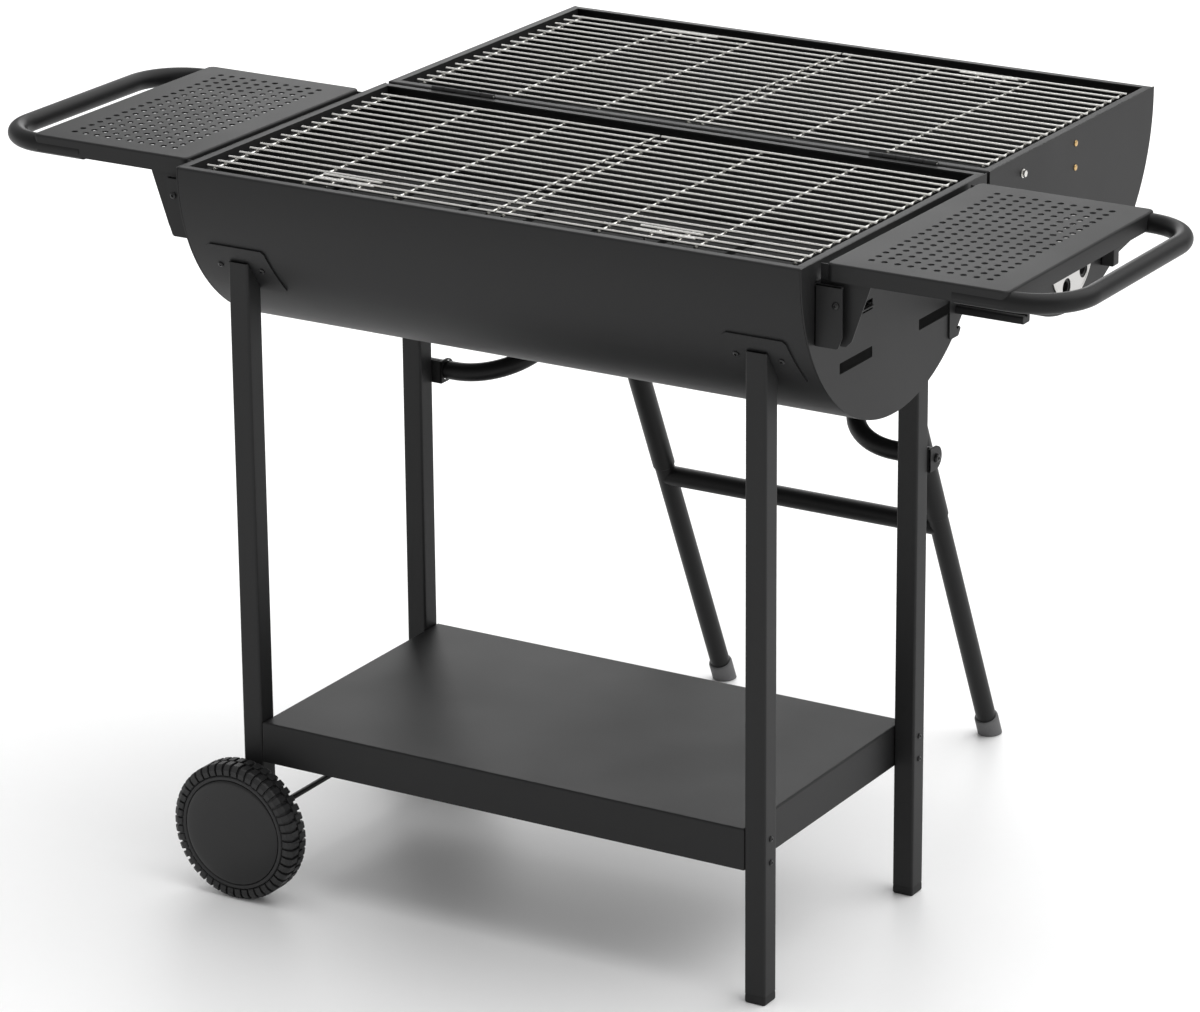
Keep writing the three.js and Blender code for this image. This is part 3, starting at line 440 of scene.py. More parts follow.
def turned(profile, centre, axis, steps=48, ring=False):
    """A profile of (radius, distance) spun about an axis. A ring's profile closes on itself."""
    along = Vector(axis).normalized()
    across = along.orthogonal().normalized()
    other = along.cross(across)
    centre = Vector(centre)
    points, faces, rows = [], [], []
    for radius, distance in profile:
        rows.append((len(points), radius > 1e-6))
        for s in range(steps if radius > 1e-6 else 1):
            t = 2 * math.pi * s / steps
            side = radius * (math.cos(t) * across + math.sin(t) * other)
            points.append(centre + along * distance + side)
    pairs = list(zip(rows, rows[1:] + rows[:1]))
    for (first, wide), (second, wide_next) in pairs if ring else pairs[:-1]:
        if wide and wide_next:
            faces += ring_faces(first, second, steps)
        elif wide or wide_next:
            tip, row = (second, first) if wide else (first, second)
            faces += [(row + s, row + (s + 1) % steps, tip) for s in range(steps)]
    return mesh_of(points, faces)


def rod_profile(radius, low, high, narrow=1.0, short=1.0):
    """A plain rod for `turned`, its ends chamfered."""
    ends = [(0, low), (radius - narrow, low), (radius, low + short)]
    return ends + [(radius, high - short), (radius - narrow, high), (0, high)]


# %% Folded trays, walls and pieces
def thickened(mesh, thick):
    """Gives a single sheet its thickness, inwards."""
    holder = bpy.data.objects.new("sheet", mesh)
    bpy.context.scene.collection.objects.link(holder)
    wall = holder.modifiers.new("wall", "SOLIDIFY")
    wall.thickness = 0.001 * thick
    wall.offset = -1
    wall.use_even_offset = True
    return closed_up(plain_mesh(holder))


FOLD_STEPS = 4


def folded_rings(low, top, bend):
    """How far in and how high each loop of a tray's folded edge lies."""
    turns = [math.pi / 2 * k / FOLD_STEPS for k in range(FOLD_STEPS + 1)]
    loops = [(bend * (1 - math.sin(t)), top - bend * (1 - math.cos(t))) for t in turns]
    return loops + [(0.0, low)]


def pressed_tray(x0, x1, y0, y1, low, top, bend=2.5, corner=3.0):
    """A flat top folded down all round, open below."""
    points, rows = [], []
    for inset, z in folded_rings(low, top, bend):
        loop = rectangle(x0 + inset, x1 - inset, y0 + inset, y1 - inset, max(corner - inset, 0.4))
        rows.append(len(points))
        points += [(p[0], p[1], z) for p in loop]
    count = rows[1]
    faces = [tuple(range(count))]
    for first, second in zip(rows, rows[1:]):
        faces += ring_faces(first, second, count)
    return thickened(mesh_of(points, faces), SHEET)


def add_piece(name, parts, material, body, nodes=(), crease=38):
    """Joins bare meshes into one piece, gives it its finish and lets it ride on its body."""
    work = bmesh.new()
    for part in parts:
        work.from_mesh(part)
    mesh = bpy.data.meshes.new(name)
    work.to_mesh(mesh)
    work.free()
    for part in parts:
        bpy.data.meshes.remove(part)
    mesh.shade_smooth()
    mesh.set_sharp_from_angle(angle=math.radians(crease))
    piece = bpy.data.objects.new(name, mesh)
    bpy.context.scene.collection.objects.link(piece)
    flat = piece.modifiers.new("flat", "WEIGHTED_NORMAL")
    flat.keep_sharp = True
    bpy.context.view_layer.update()
    graph = bpy.context.evaluated_depsgraph_get()
    piece.data = bpy.data.meshes.new_from_object(piece.evaluated_get(graph))
    piece.data.name = name
    piece.modifiers.clear()
    bpy.data.meshes.remove(mesh)
    piece.data.materials.clear()
    piece.data.materials.append(material)
    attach(piece, body)
    if nodes:
        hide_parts(*nodes)
    print(f"{name}: {len(piece.data.polygons)} faces on {body}")
    return piece


# %% Flat panels and folded strips
def panel(x0, x1, y0, y1, z0, z1, corner=1.2, rim=0.35):
    """A flat rectangular piece of sheet, thin along whichever direction is shortest."""
    spans = [sorted(pair) for pair in ((x0, x1), (y0, y1), (z0, z1))]
    widths = [b - a for a, b in spans]
    thin = widths.index(min(widths))
    plane = ("yz", "xz", "xy")[thin]
    first, second = [spans[k] for k in range(3) if k != thin]
    return cut_sheet([rectangle(*first, *second, corner)], plane, spans[thin], rim)


def mirrored(points, side):
    """An outline for the left or the right, drawn for the right."""
    return [(side * p[0], p[1]) for p in points]


# %% [markdown]
# ## Patterns
# Wires, holes, tread blocks and screws repeat at a fixed pitch, so that one tree makes all of each. A
# pattern's sizes are its named inputs, and a shape to repeat is an input too. The tree turns its copies
# into real mesh at the end, and that mesh then joins the piece.

# %% Patterns as Geometry Nodes
class Pattern(Tree):
    """A Geometry Nodes tree. Its sizes are named inputs."""

    def __init__(self, name, inputs):
        self.group = bpy.data.node_groups.new(name, "GeometryNodeTree")
        super().__init__(self.group)
        self.group.interface.new_socket("Geometry", in_out="OUTPUT", socket_type="NodeSocketGeometry")
        self.keys = {}
        for title, kind in {**inputs, "Finish": "Material"}.items():
            socket = self.group.interface.new_socket(title, in_out="INPUT", socket_type="NodeSocket" + kind)
            self.keys[title] = socket.identifier
        self.entry = self.group.nodes.new("NodeGroupInput")

    def given(self, title):
        return Value(self, self.entry.outputs[title])

    def shape_of(self, title):
        return self.node("GeometryNodeObjectInfo", None, {"Object": self.given(title)}, output="Geometry")

    def triple(self, x=0.0, y=0.0, z=0.0):
        return self.node("ShaderNodeCombineXYZ", None, {"X": x, "Y": y, "Z": z})

    def repeated(self, points, shape, rotation=None):
        sockets = {"Points": points, "Instance": shape}
        if rotation:
            sockets["Rotation"] = rotation
        return self.node("GeometryNodeInstanceOnPoints", None, sockets)

    def end_with(self, shape, welded=None):
        """Turns the copies into mesh, welds them if asked, and gives them their finish."""
        real = self.node("GeometryNodeRealizeInstances", None, {"Geometry": shape})
        if welded:
            real = self.node("GeometryNodeMergeByDistance", None, {"Geometry": real, "Distance": welded})
        sockets = {"Geometry": real, "Material": self.given("Finish")}
        done = self.node("GeometryNodeSetMaterial", None, sockets)
        leave = self.group.nodes.new("NodeGroupOutput")
        self.feed(leave.inputs[0], done)
        return self

    def mesh(self, **values):
        """The pattern at these sizes, as a mesh. Objects passed in as shapes go."""
        holder = bpy.data.objects.new(self.group.name, bpy.data.meshes.new(self.group.name))
        bpy.context.scene.collection.objects.link(holder)
        work = holder.modifiers.new("pattern", "NODES")
        work.node_group = self.group
        for title, value in values.items():
            work[self.keys[title.replace("_", " ")]] = value
        made = plain_mesh(holder)
        for value in values.values():
            if isinstance(value, bpy.types.Object):
                bpy.data.objects.remove(value)
        return made


def template(mesh):
    """An object that holds a shape for a pattern to repeat."""
    holder = bpy.data.objects.new("template", mesh)
    bpy.context.scene.collection.objects.link(holder)
    return holder


# %% Rows of wire
wires = Pattern("wire_row", {"Count": "Int", "Pitch": "Float", "Length": "Float", "Radius": "Float"})
row = wires.node(
    "GeometryNodeMeshLine",
    {"mode": "OFFSET"},
    {"Count": wires.given("Count"), "Offset": wires.triple(y=wires.given("Pitch"))},
)
run = wires.triple(x=wires.given("Length"))
straight = wires.node("GeometryNodeCurvePrimitiveLine", None, {"End": run})
section = wires.node(
    "GeometryNodeCurvePrimitiveCircle", None, {"Resolution": 12, "Radius": wires.given("Radius")}
)
wire = wires.node(
    "GeometryNodeCurveToMesh", None, {"Curve": straight, "Profile Curve": section, "Fill Caps": True}
)
wires.end_with(wires.repeated(row, wire))


def wire_row(count, pitch, length, radius, start, turn=0):
    """Parallel wires: they run along X from start, each a pitch further along Y, and turn about start."""
    mesh = wires.mesh(
        Count=count, Pitch=pitch / 1000, Length=length / 1000, Radius=radius / 1000, Finish=BRIGHT_WIRE
    )
    place = Matrix.Translation(Vector(start) / 1000) @ Matrix.Rotation(math.radians(turn), 4, "Z")
    mesh.transform(place)
    return closed_up(mesh)


# %% Rows of holes
holes = Pattern(
    "perforation",
    {"Cell": "Object", "Columns": "Int", "Rows": "Int", "Step X": "Float", "Step Y": "Float"},
)
columns, rows = holes.given("Columns"), holes.given("Rows")
field = holes.node(
    "GeometryNodeMeshGrid",
    None,
    {
        "Size X": (columns - 1) * holes.given("Step X"),
        "Size Y": (rows - 1) * holes.given("Step Y"),
        "Vertices X": columns,
        "Vertices Y": rows,
    },
)
holes.end_with(holes.repeated(field, holes.shape_of("Cell")), welded=0.00002)


def hole_cell(step_x, step_y, radius):
    """One rectangle of sheet with a round hole: eight faces between its edge and the hole."""
    half_x, half_y = step_x / 2, step_y / 2
    edge = [(1, 0), (1, 1), (0, 1), (-1, 1), (-1, 0), (-1, -1), (0, -1), (1, -1)]
    points = [(half_x * x, half_y * y, 0) for x, y in edge]
    points += [(x, y, 0) for x, y in arc((0, 0), radius, 0, 337.5, 15)]
    faces = []
    for k in range(8):
        hole = [8 + (2 * k + step) % 16 for step in (2, 1, 0)]
        faces.append((k, (k + 1) % 8, *hole))
    return mesh_of(points, faces)


# %% Blocks round a wheel, and heads on screws
ring = Pattern("tread", {"Block": "Object", "Count": "Int", "Radius": "Float"})
spots = ring.node(
    "GeometryNodeMeshCircle", None, {"Vertices": ring.given("Count"), "Radius": ring.given("Radius")}
)
outwards = ring.node(
    "FunctionNodeAlignRotationToVector",
    {"axis": "X"},
    {"Vector": ring.node("GeometryNodeInputPosition")},
)
ring.end_with(ring.repeated(spots, ring.shape_of("Block"), outwards))

heads = Pattern("screw_heads", {"Head": "Object", "Spots": "Object", "Facing": "Vector"})
twist = heads.node(
    "FunctionNodeRandomValue",
    {"data_type": "FLOAT"},
    {"Max": 6.28, "Seed": 7},
    output=1,
)
facing = heads.node("FunctionNodeAlignRotationToVector", {"axis": "Z"}, {"Vector": heads.given("Facing")})
turned_head = heads.node(
    "FunctionNodeRotateRotation",
    {"rotation_space": "LOCAL"},
    {
        "Rotation": facing,
        "Rotate By": heads.node("FunctionNodeEulerToRotation", None, {"Euler": heads.triple(z=twist)}),
    },
)
heads.end_with(heads.repeated(heads.shape_of("Spots"), heads.shape_of("Head"), turned_head))


def screw_heads(spots, facing, radius=4.0, height=2.4, sides=20, socket=True):
    """Round heads on the given spots, in millimetres, that face one way."""
    dome = [(radius * math.cos(t), height * (0.35 + 0.65 * math.sin(t))) for t in np.linspace(0, 1.2, 6)]
    inner = 0.42 * radius
    middle_part = [(inner, dome[-1][1]), (inner * 0.9, height * 0.4), (0, height * 0.4)] if socket else [
        (0, height)
    ]
    profile = [(0, 0), (radius, 0), *dome, *middle_part]
    head = turned(profile, (0, 0, 0), (0, 0, 1), sides)
    mesh = heads.mesh(Head=template(head), Spots=template(raw_mesh(spots)), Facing=facing, Finish=ZINC)
    return closed_up(mesh)


print("patterns:", ", ".join(p.group.name for p in (wires, holes, ring, heads)))

# %% [markdown]
# ## The half barrel and its lid
# A sheet is rolled into a trough and its rim is folded inwards, which stiffens it and hides the sharp
# edge. The lid is the same trough turned over about the hinge. The shell is one closed outline, drawn
# once round the wall and back again, and pulled out along the barrel. Ninety-six straight steps round the
# half circle leave no corners to see. The ends are plates cut to the same outline, welded in, with a
# stepped ledge for the grates.

# %% Rolled shells
RIM_FOLD = 12.0
ROUND_STEPS = 96


def trough(node):
    """The centre of a shell's section, its radius and the level where the wall turns straight."""
    b = box(node)
    radius = (b[4] - b[1]) / 2
    return (b[1] + b[4]) / 2, radius, b[2] + radius


def shell_section(node):
    y, radius, level = trough(node)
    outside = arc((y, level), radius, 180, 360, ROUND_STEPS)
    inside = arc((y, level), radius - SHEET, 360, 180, ROUND_STEPS)
    bend = arc((y + radius - 3, RIM - 3), 3, 0, 90, 5)
    fold = y + radius - RIM_FOLD
    tucked = [(fold, RIM), (fold, RIM - SHEET), (y + radius - SHEET, RIM - SHEET)]
    far = [(2 * y - p[0], p[1]) for p in (bend + tucked)[::-1]]
    return outside + bend + tucked + inside + far


for name, body in (("barrel_shell", "cart"), ("lid_shell", "lid")):
    b = box(name)
    wall = cut_sheet([shell_section(name)], "yz", (b[0], b[3]), 0.2)
    add_piece(name + "_rolled", [wall], SHEET_COAT, body, [name], crease=50)

# %% [markdown]
# The end plates carry most of the detail that is seen from the side. The barrel's have two pairs of slots
# for the charcoal tray's tabs. The lid's have five holes behind a turning damper. Both are flat laser-cut
# sheet, so each is an outline with holes, filled and given its thickness.

# %% End plates
SLOT_LENGTH, SLOT_HEIGHT = 84.0, 14.0
SLOT_OFFSET, SLOT_LEVELS = 104.0, (146.0, 84.0)
LEDGE_DROP, LEDGE_WIDTH = 12.0, 10.0
DAMPER_HOLES, DAMPER_CIRCLE, DAMPER_HOLE, DAMPER_PORT = 5, 44.0, 12.0, 8.0
DAMPER_TURN = 14.0


def end_outline(node):
    y, radius, level = trough(node)
    return arc((y, level), radius, 180, 360, ROUND_STEPS) + [(y + radius, RIM), (y - radius, RIM)]


def ledge(node, side):
    """The rim fold, the step down and the shelf that a grate lies on, as one bent strip along the rim."""
    y, radius, _ = trough(node)
    edge = END_FACE - RIM_FOLD
    low = RIM - LEDGE_DROP
    bent = [
        (END_FACE - 1, RIM),
        (edge, RIM),
        (edge, low),
        (edge - LEDGE_WIDTH, low),
        (edge - LEDGE_WIDTH, low - SHEET),
        (edge + SHEET, low - SHEET),
        (edge + SHEET, RIM - SHEET),
        (END_FACE - 1, RIM - SHEET),
    ]
    reach = radius - RIM_FOLD - GAP
    return cut_sheet([mirrored(bent, side)], "xz", (y - reach, y + reach), 0.2)


def circle(centre, radius, steps=28):
    return arc(centre, radius, 0, 360 - 360 / steps, steps - 1)


slots = [
    rectangle(
        BARREL_Y + way * SLOT_OFFSET - SLOT_LENGTH / 2,
        BARREL_Y + way * SLOT_OFFSET + SLOT_LENGTH / 2,
        ARC_Z - level - SLOT_HEIGHT / 2,
        ARC_Z - level + SLOT_HEIGHT / 2,
        1.2,
        3,
    )
    for way in (-1, 1)
    for level in SLOT_LEVELS
]
DAMPER = middle("damper_stud_right")


def damper_holes(radius):
    made = []
    for k in range(DAMPER_HOLES):
        t = math.radians(90 + 360 * k / DAMPER_HOLES + DAMPER_TURN)
        spot = (DAMPER[1] + DAMPER_CIRCLE * math.cos(t), DAMPER[2] + DAMPER_CIRCLE * math.sin(t))
        made.append(circle(spot, radius))
    return made


for word, side in SIDES:
    thick = (side * (END_FACE - SHEET), side * END_FACE)
    node = "barrel_end_" + word
    plate = cut_sheet([end_outline("barrel_shell"), *slots], "yz", thick, 0.25)
    add_piece(node + "_plate", [plate, ledge("barrel_shell", side)], SHEET_COAT, "cart", [node])
    node = "lid_end_" + word
    plate = cut_sheet([end_outline("lid_shell"), *damper_holes(DAMPER_PORT)], "yz", thick, 0.25)
    add_piece(node + "_plate", [plate, ledge("lid_shell", side)], SHEET_COAT, "lid", [node])

# %% [markdown]
# A rotary damper is a stainless disc held by one stud. Its holes pass over those of the end plate as it
# is turned, which opens or shuts the air. They are wider than the ports behind them, so a ring of black
# plate shows in each. The rim is pressed slightly, and a finger tab is bent out at the bottom.

# %% Dampers
for word, side in SIDES:
    b = box("damper_" + word)
    near, far = from_middle(b)
    radius = (b[4] - b[1]) / 2
    centre = (DAMPER[1], DAMPER[2])
    outline = circle(centre, radius, 96)
    sheet = (side * near, side * (near + 1.6))
    disc = cut_sheet([outline, *damper_holes(DAMPER_HOLE), circle(centre, 3.4)], "yz", sheet, 0.4)
    bead = turned(
        [(radius - 4.5, near + 1.5), (radius - 3.4, near + 2.3), (radius - 2.3, near + 1.5)],
        (0, *centre),
        (side, 0, 0),
        96,
        ring=True,
    )
    tab_z = b[2]
    tab = panel(side * (near + 0.4), side * far, centre[0] - 9, centre[0] + 9, tab_z, tab_z + 2, 3, 0.3)
    name = "damper_" + word
    add_piece(name + "_disc", [disc, bead, tab], STAINLESS, name, [name])
    s = box("damper_stud_" + word)
    inner, outer = from_middle(s)
    wide = (s[4] - s[1]) / 2
    stud = turned(
        [
            (0, inner),
            (wide, inner),
            (wide, END_FACE - SHEET - GAP),
            (3, END_FACE - SHEET - GAP),
            (3, near + 1.9),
            (wide, near + 1.9),
            (wide, outer - 0.9),
            (wide * 0.8, outer - 0.2),
            (0, outer),
        ],
        (0, *centre),
        (side, 0, 0),
        32,
    )
    add_piece(f"damper_stud_{word}_rivet", [stud], ZINC, "lid", ["damper_stud_" + word])

# %% [markdown]
# Small fasteners sit on the lid's right-hand end: one long bolt with a bright hexagon head and a washer,
# and two brass rivets that hold the hanger strap of the tray. Rivet heads are low domes with a soft foot.

# %% Lid bolt and rivets
b = box("lid_end_bolt")
bolt_y, bolt_z = (b[1] + b[4]) / 2, (b[2] + b[5]) / 2
wide = (b[4] - b[1]) / 2
behind, front = END_FACE - SHEET - GAP, END_FACE + GAP
nut = [(0, b[0]), (wide, b[0]), (wide, behind), (3, behind), (3, front)]
washer = [(wide, front), (wide, END_FACE + 1.3), (wide * 0.9, END_FACE + 1.6), (0, END_FACE + 1.6)]
bolt = turned(nut + washer, (0, bolt_y, bolt_z), (1, 0, 0), 40)
hexagon = cut_sheet([circle((bolt_y, bolt_z), wide * 0.8, 6)], "yz", (END_FACE + 1.5, b[3]), 0.5)
add_piece("lid_end_bolt_head", [bolt, hexagon], ZINC, "lid", ["lid_end_bolt"])
rivets = screw_heads(
    [(END_FACE, DAMPER[1] + 5, z) for z in (RIM - 22, RIM - 55)], (1, 0, 0), 4.2, 2.2, 24, socket=False
)
add_piece("lid_rivets", [rivets], BRASS, "lid")

# %% [markdown]
# ## Hinges
# Two butt hinges join the back walls. Each is a pair of leaves whose edges curl round one pin in turn,
# which is what lets the lid swing right over. When it lies open, the two leaves of each hinge face each
# other.

# %% Hinge leaves, knuckles and pins
KNUCKLES = 5
LEAF = 1.5
for word, side in SIDES:
    p = box("hinge_pin_" + word)
    pin_radius = (p[5] - p[2]) / 2
    pin_y, pin_z = (p[1] + p[4]) / 2, (p[2] + p[5]) / 2
    knuckle = box("hinge_barrel_leaf_" + word)[5] - pin_z
    step = (p[3] - p[0]) / KNUCKLES
    for first, part, body, toward in ((0, "barrel", "cart", -1), (1, "lid", "lid", 1)):
        node = f"hinge_{part}_leaf_{word}"
        b = box(node)
        wall = (b[1], b[1] + LEAF) if toward < 0 else (b[4] - LEAF, b[4])
        screws = [(p[0] + (p[3] - p[0]) * share, b[2] + 10) for share in (0.14, 0.5, 0.86)]
        shape = rectangle(p[0], p[3], b[2], pin_z - knuckle - GAP, 2)
        parts = [cut_sheet([shape, *(circle(s, 2.6, 16) for s in screws)], "xz", wall, 0.25)]
        for k in range(first, KNUCKLES, 2):
            x0, x1 = p[0] + k * step + GAP, p[0] + (k + 1) * step - GAP
            parts.append(panel(x0, x1, *wall, pin_z - knuckle - 1, pin_z, 0.4, 0.2))
            curl = [
                (pin_radius + GAP, x0),
                (knuckle, x0),
                (knuckle, x1),
                (pin_radius + GAP, x1),
            ]
            parts.append(turned(curl, (0, pin_y, pin_z), (1, 0, 0), 24, ring=True))
        add_piece(node + "_curled", parts, SHEET_COAT, body, [node])
    shape = rod_profile(pin_radius, p[0], p[3], 0.2 * pin_radius, 0.5)
    pin = turned(shape, (0, pin_y, pin_z), (1, 0, 0), 20)
    add_piece(f"hinge_pin_{word}_rod", [pin], ZINC, "cart", ["hinge_pin_" + word])

# %% [markdown]
# ## Cooking grates
# Each bowl takes two panels of bright nickel-plated wire: eighteen wires along the barrel, welded onto
# four that run across underneath. Two short wires near the free edge make a grip to lift it by. The wire
# row comes from the pattern; the grip is wire laid on posts.

# %% Grates
WIRE = 4.0
GRATE_WIRES = 18
CROSS_WIRES = 4
HANDLE_AT, HANDLE_LENGTH = 235.0, 88.0


def grate(node, side, body):
    b = box(node)
    radius = WIRE / 2
    top = b[5]
    pitch = (b[4] - b[1] - 2 * WIRE) / (GRATE_WIRES - 1)
    long_row = wire_row(
        GRATE_WIRES, pitch, b[3] - b[0], radius, (b[0], b[1] + WIRE, top - radius)
    )
    inset = 10.0
    run = (b[3] - b[0] - 2 * inset) / (CROSS_WIRES - 1)
    under = wire_row(CROSS_WIRES, -run, b[4] - b[1], radius, (b[0] + inset, b[1], b[2] + radius), turn=90)
    parts = [long_row, under]
    free_edge, inwards = (b[1], 1) if b[1] < HINGE_Y else (b[4], -1)
    y = free_edge + inwards * (WIRE + 0.55 * pitch)
    x0 = side * HANDLE_AT - HANDLE_LENGTH / 2
    for step in (0, 0.8):
        grip = (x0, y + inwards * step * pitch, top + 0.4)
        parts.append(bent_tube([grip, (grip[0] + HANDLE_LENGTH, *grip[1:])], 1.7, 12, 0.6))
    for share in (0.27, 0.73):
        x = x0 + share * HANDLE_LENGTH
        low, high = sorted((y - inwards * 0.55 * pitch, y + inwards * 1.5 * pitch))
        parts.append(bent_tube([(x, low, top - WIRE - 1.2), (x, high, top - WIRE - 1.2)], 1.6, 12, 0.6))
        for step in (0, 0.8):
            rise = y + inwards * step * pitch
            parts.append(bent_tube([(x, rise, top - WIRE - 1.2), (x, rise, top + 0.4)], 1.6, 10))
    return add_piece(node + "_wires", parts, BRIGHT_WIRE, body, [node])


for bowl in ("barrel", "lid"):
    for word, side in SIDES:
        node = f"{bowl}_grate_{word}"
        grate(node, side, node)

# %% [markdown]
# ## Charcoal trays
# Under each grate a slotted tray holds the coals. The barrel's has tabs that pass through the slots of
# the end plates, so it can be set higher or lower by hand. The lid's hangs from a strap at each end. Both
# are a flat blank with slots, whose four sides are folded up.

# %% Charcoal trays
TRAY_SLOTS, TRAY_SLOT = 9, 12.0
TRAY_TAB_PLAY = 7.0
TRAY_LIP = 18.0
TRAY_END = END_FACE - SHEET - 4.0
HANGER_HALF = 20.0


def tray_floor(x0, x1, y0, y1, floor, tab_reach=0.0, tab_centre=0.0):
    """The slotted floor. Tabs stand out at both ends when tab_reach says so."""
    middle_y = (y0 + y1) / 2
    half = SLOT_LENGTH / 2 - TRAY_TAB_PLAY
    right = []
    if tab_reach:
        for way in (-1, 1):
            low, high = middle_y + way * tab_centre - half, middle_y + way * tab_centre + half
            high = min(high, y1 - 0.5)
            low = max(low, y0 + 0.5)
            right += [(x1, low), (tab_reach, low), (tab_reach, high), (x1, high)]
    outline = [(x1, y0), *right, (x1, y1)] + [(-p[0], p[1]) for p in [(x1, y1), *right[::-1], (x1, y0)]]
    slots = []
    for k in range(TRAY_SLOTS):
        x = ((k + 0.5) / TRAY_SLOTS - 0.5) * (x1 - x0)
        reach = (y1 - y0) / 3
        half_slot = TRAY_SLOT / 2
        ends = (middle_y - reach, middle_y + reach)
        slots.append(rectangle(x - half_slot, x + half_slot, *ends, half_slot - 0.2))
    return cut_sheet([outline, *slots], "xy", (floor, floor + SHEET), 0.25)


def tray_lip(x0, x1, y, way, floor, top):
    """A long side folded up, with a rounded foot."""
    foot, inner = y + way * 3, y + way * SHEET
    fold = [(foot, floor), (y, floor), (y, top), (inner, top)]
    fold += [(inner, floor + SHEET), (foot, floor + SHEET)]
    return cut_sheet([fold], "yz", (x0, x1), 0.2)


def tray_end(side, y0, y1, floor, top):
    """A short side folded up, which keeps the coals off the end plate's slots."""
    thick = (side * TRAY_END, side * (TRAY_END - SHEET))
    return panel(*thick, y0 + SHEET, y1 - SHEET, floor + 1, top, 1, 0.25)


def tray_pan(b, top, tab_reach=0.0, tab_centre=0.0):
    """A tray's floor and its four folded sides."""
    low = b[2]
    parts = [tray_floor(-TRAY_END, TRAY_END, b[1], b[4], low, tab_reach, tab_centre)]
    parts += [tray_lip(-TRAY_END, TRAY_END, y, way, low, top) for y, way in ((b[1], 1), (b[4], -1))]
    return parts + [tray_end(side, b[1], b[4], low, top) for _, side in SIDES]


b = box("barrel_charcoal_tray")
pan = tray_pan(b, b[5], b[3] - 0.1, SLOT_OFFSET)
add_piece("barrel_charcoal_tray_slotted", pan, SHEET_COAT, "cart", ["barrel_charcoal_tray"])

b = box("lid_charcoal_tray")
low = b[2]
parts = tray_pan(b, low + TRAY_LIP)
for _, side in SIDES:
    outer = side * b[3]
    across = (LID_Y - HANGER_HALF, LID_Y + HANGER_HALF)
    parts.append(panel(outer, outer - side * SHEET, *across, low, b[5], 1, 0.25))
    parts.append(panel(outer - side, side * (TRAY_END - 1), *across, low, low + SHEET, 1, 0.25))
add_piece("lid_charcoal_tray_slotted", parts, SHEET_COAT, "lid", ["lid_charcoal_tray"])

# %% [markdown]
# ## The cart
# The legs are square steel tube. Their tops are cut to the barrel's curve and bolted through saddle
# plates. The tube is an outline with its bore, pulled upwards. Then the upper end is coped: each of its
# points drops to the height at which the barrel's skin would touch it.

# %% Legs
TUBE_WALL = 1.5
SKIN_PLAY = SHEET + 2 * GAP


def barrel_skin(y, off):
    """The height of the barrel's underside at y, for a skin that is off the shell by that much."""
    reach = (RADIUS + off) ** 2 - (y - BARREL_Y) ** 2
    return ARC_Z - math.sqrt(max(reach, 0.0))


def divided(loop, step):
    """The same loop with extra points, so that no straight run is longer than step."""
    made = []
    for k, here in enumerate(loop):
        after = loop[(k + 1) % len(loop)]
        count = max(1, math.ceil((Vector(after) - Vector(here)).length / step))
        made += [tuple(Vector(here).lerp(Vector(after), i / count)) for i in range(count)]
    return made


def square_tube(x0, x1, y0, y1, low, high):
    """A rounded square tube along Z. high(y) gives where it ends."""
    outer = divided(rectangle(x0, x1, y0, y1, 3.2, 5), 4)
    wall = TUBE_WALL
    inner = divided(rectangle(x0 + wall, x1 - wall, y0 + wall, y1 - wall, 1.8, 5), 4)
    points, rows = [], []
    for loop in (outer, inner):
        for level in (lambda y: low, high):
            rows.append((len(points), len(loop)))
            points += [(p[0], p[1], level(p[1])) for p in loop]
    faces = []
    for (first, count), (second, _) in (rows[0:2], rows[2:4]):
        faces += ring_faces(first, second, count)
    mesh = raw_mesh(points, faces)
    work = bmesh.new()
    work.from_mesh(mesh)
    edges = [e for e in work.edges if e.is_boundary]
    for level in (0, 1):
        ends = []
        for first, count in (rows[level], rows[level + 2]):
            ring_points = set(range(first, first + count))
            ends += [e for e in edges if all(v.index in ring_points for v in e.verts)]
        bmesh.ops.bridge_loops(work, edges=ends)
    work.to_mesh(mesh)
    work.free()
    return closed_up(mesh)


def cap_screws(node):
    """Where the shelf's screws show on a right leg's outer face."""
    b = box(node)
    shelf = box("shelf")
    return [(b[3], (b[1] + b[4]) / 2, shelf[5] - drop) for drop in (12, 44)]


# How far out a leg's plastic cap reaches, and at what height above its foot.
CAP_PROFILE = ((14.2, 0), (15, 1.5), (15, 8), (14.6, 12), (13, 12), (12.6, 30))
LEG_TOP = box("leg_front_left")[5]
CORNERS = (("front_left", -1), ("front_right", 1), ("rear_left", -1), ("rear_right", 1))
for place, side in CORNERS:
    b = box("leg_" + place)
    tube = square_tube(b[0], b[3], b[1], b[4], b[2], lambda y: min(LEG_TOP, barrel_skin(y, SKIN_PLAY)))
    add_piece(f"leg_{place}_tube", [tube], SHEET_COAT, "cart", ["leg_" + place])
    if side > 0:
        c = box("leg_cap_" + place)
        x, y = (c[0] + c[3]) / 2, (c[1] + c[4]) / 2
        rows = [
            [(*p, c[2] + z) for p in rectangle(x - r, x + r, y - r, y + r, 3, 5)] for r, z in CAP_PROFILE
        ]
        count = len(rows[0])
        faces = [tuple(range(count)), tuple(range((len(rows) - 1) * count, len(rows) * count))]
        for k in range(len(rows) - 1):
            faces += ring_faces(k * count, (k + 1) * count, count)
        cap = mesh_of([p for r in rows for p in r], faces)
        add_piece(f"leg_cap_{place}_moulded", [cap], CAP_PLASTIC, "cart", ["leg_cap_" + place])

# %% [markdown]
# The saddle plates are small trapezoids rolled to the barrel's radius. A flat plate would stand off the
# curve, so each is a grid of rows that follow the skin. Two screws hold each plate.

# %% Saddle plates and their screws
MOUNT_HALF = (57.0, 43.5)


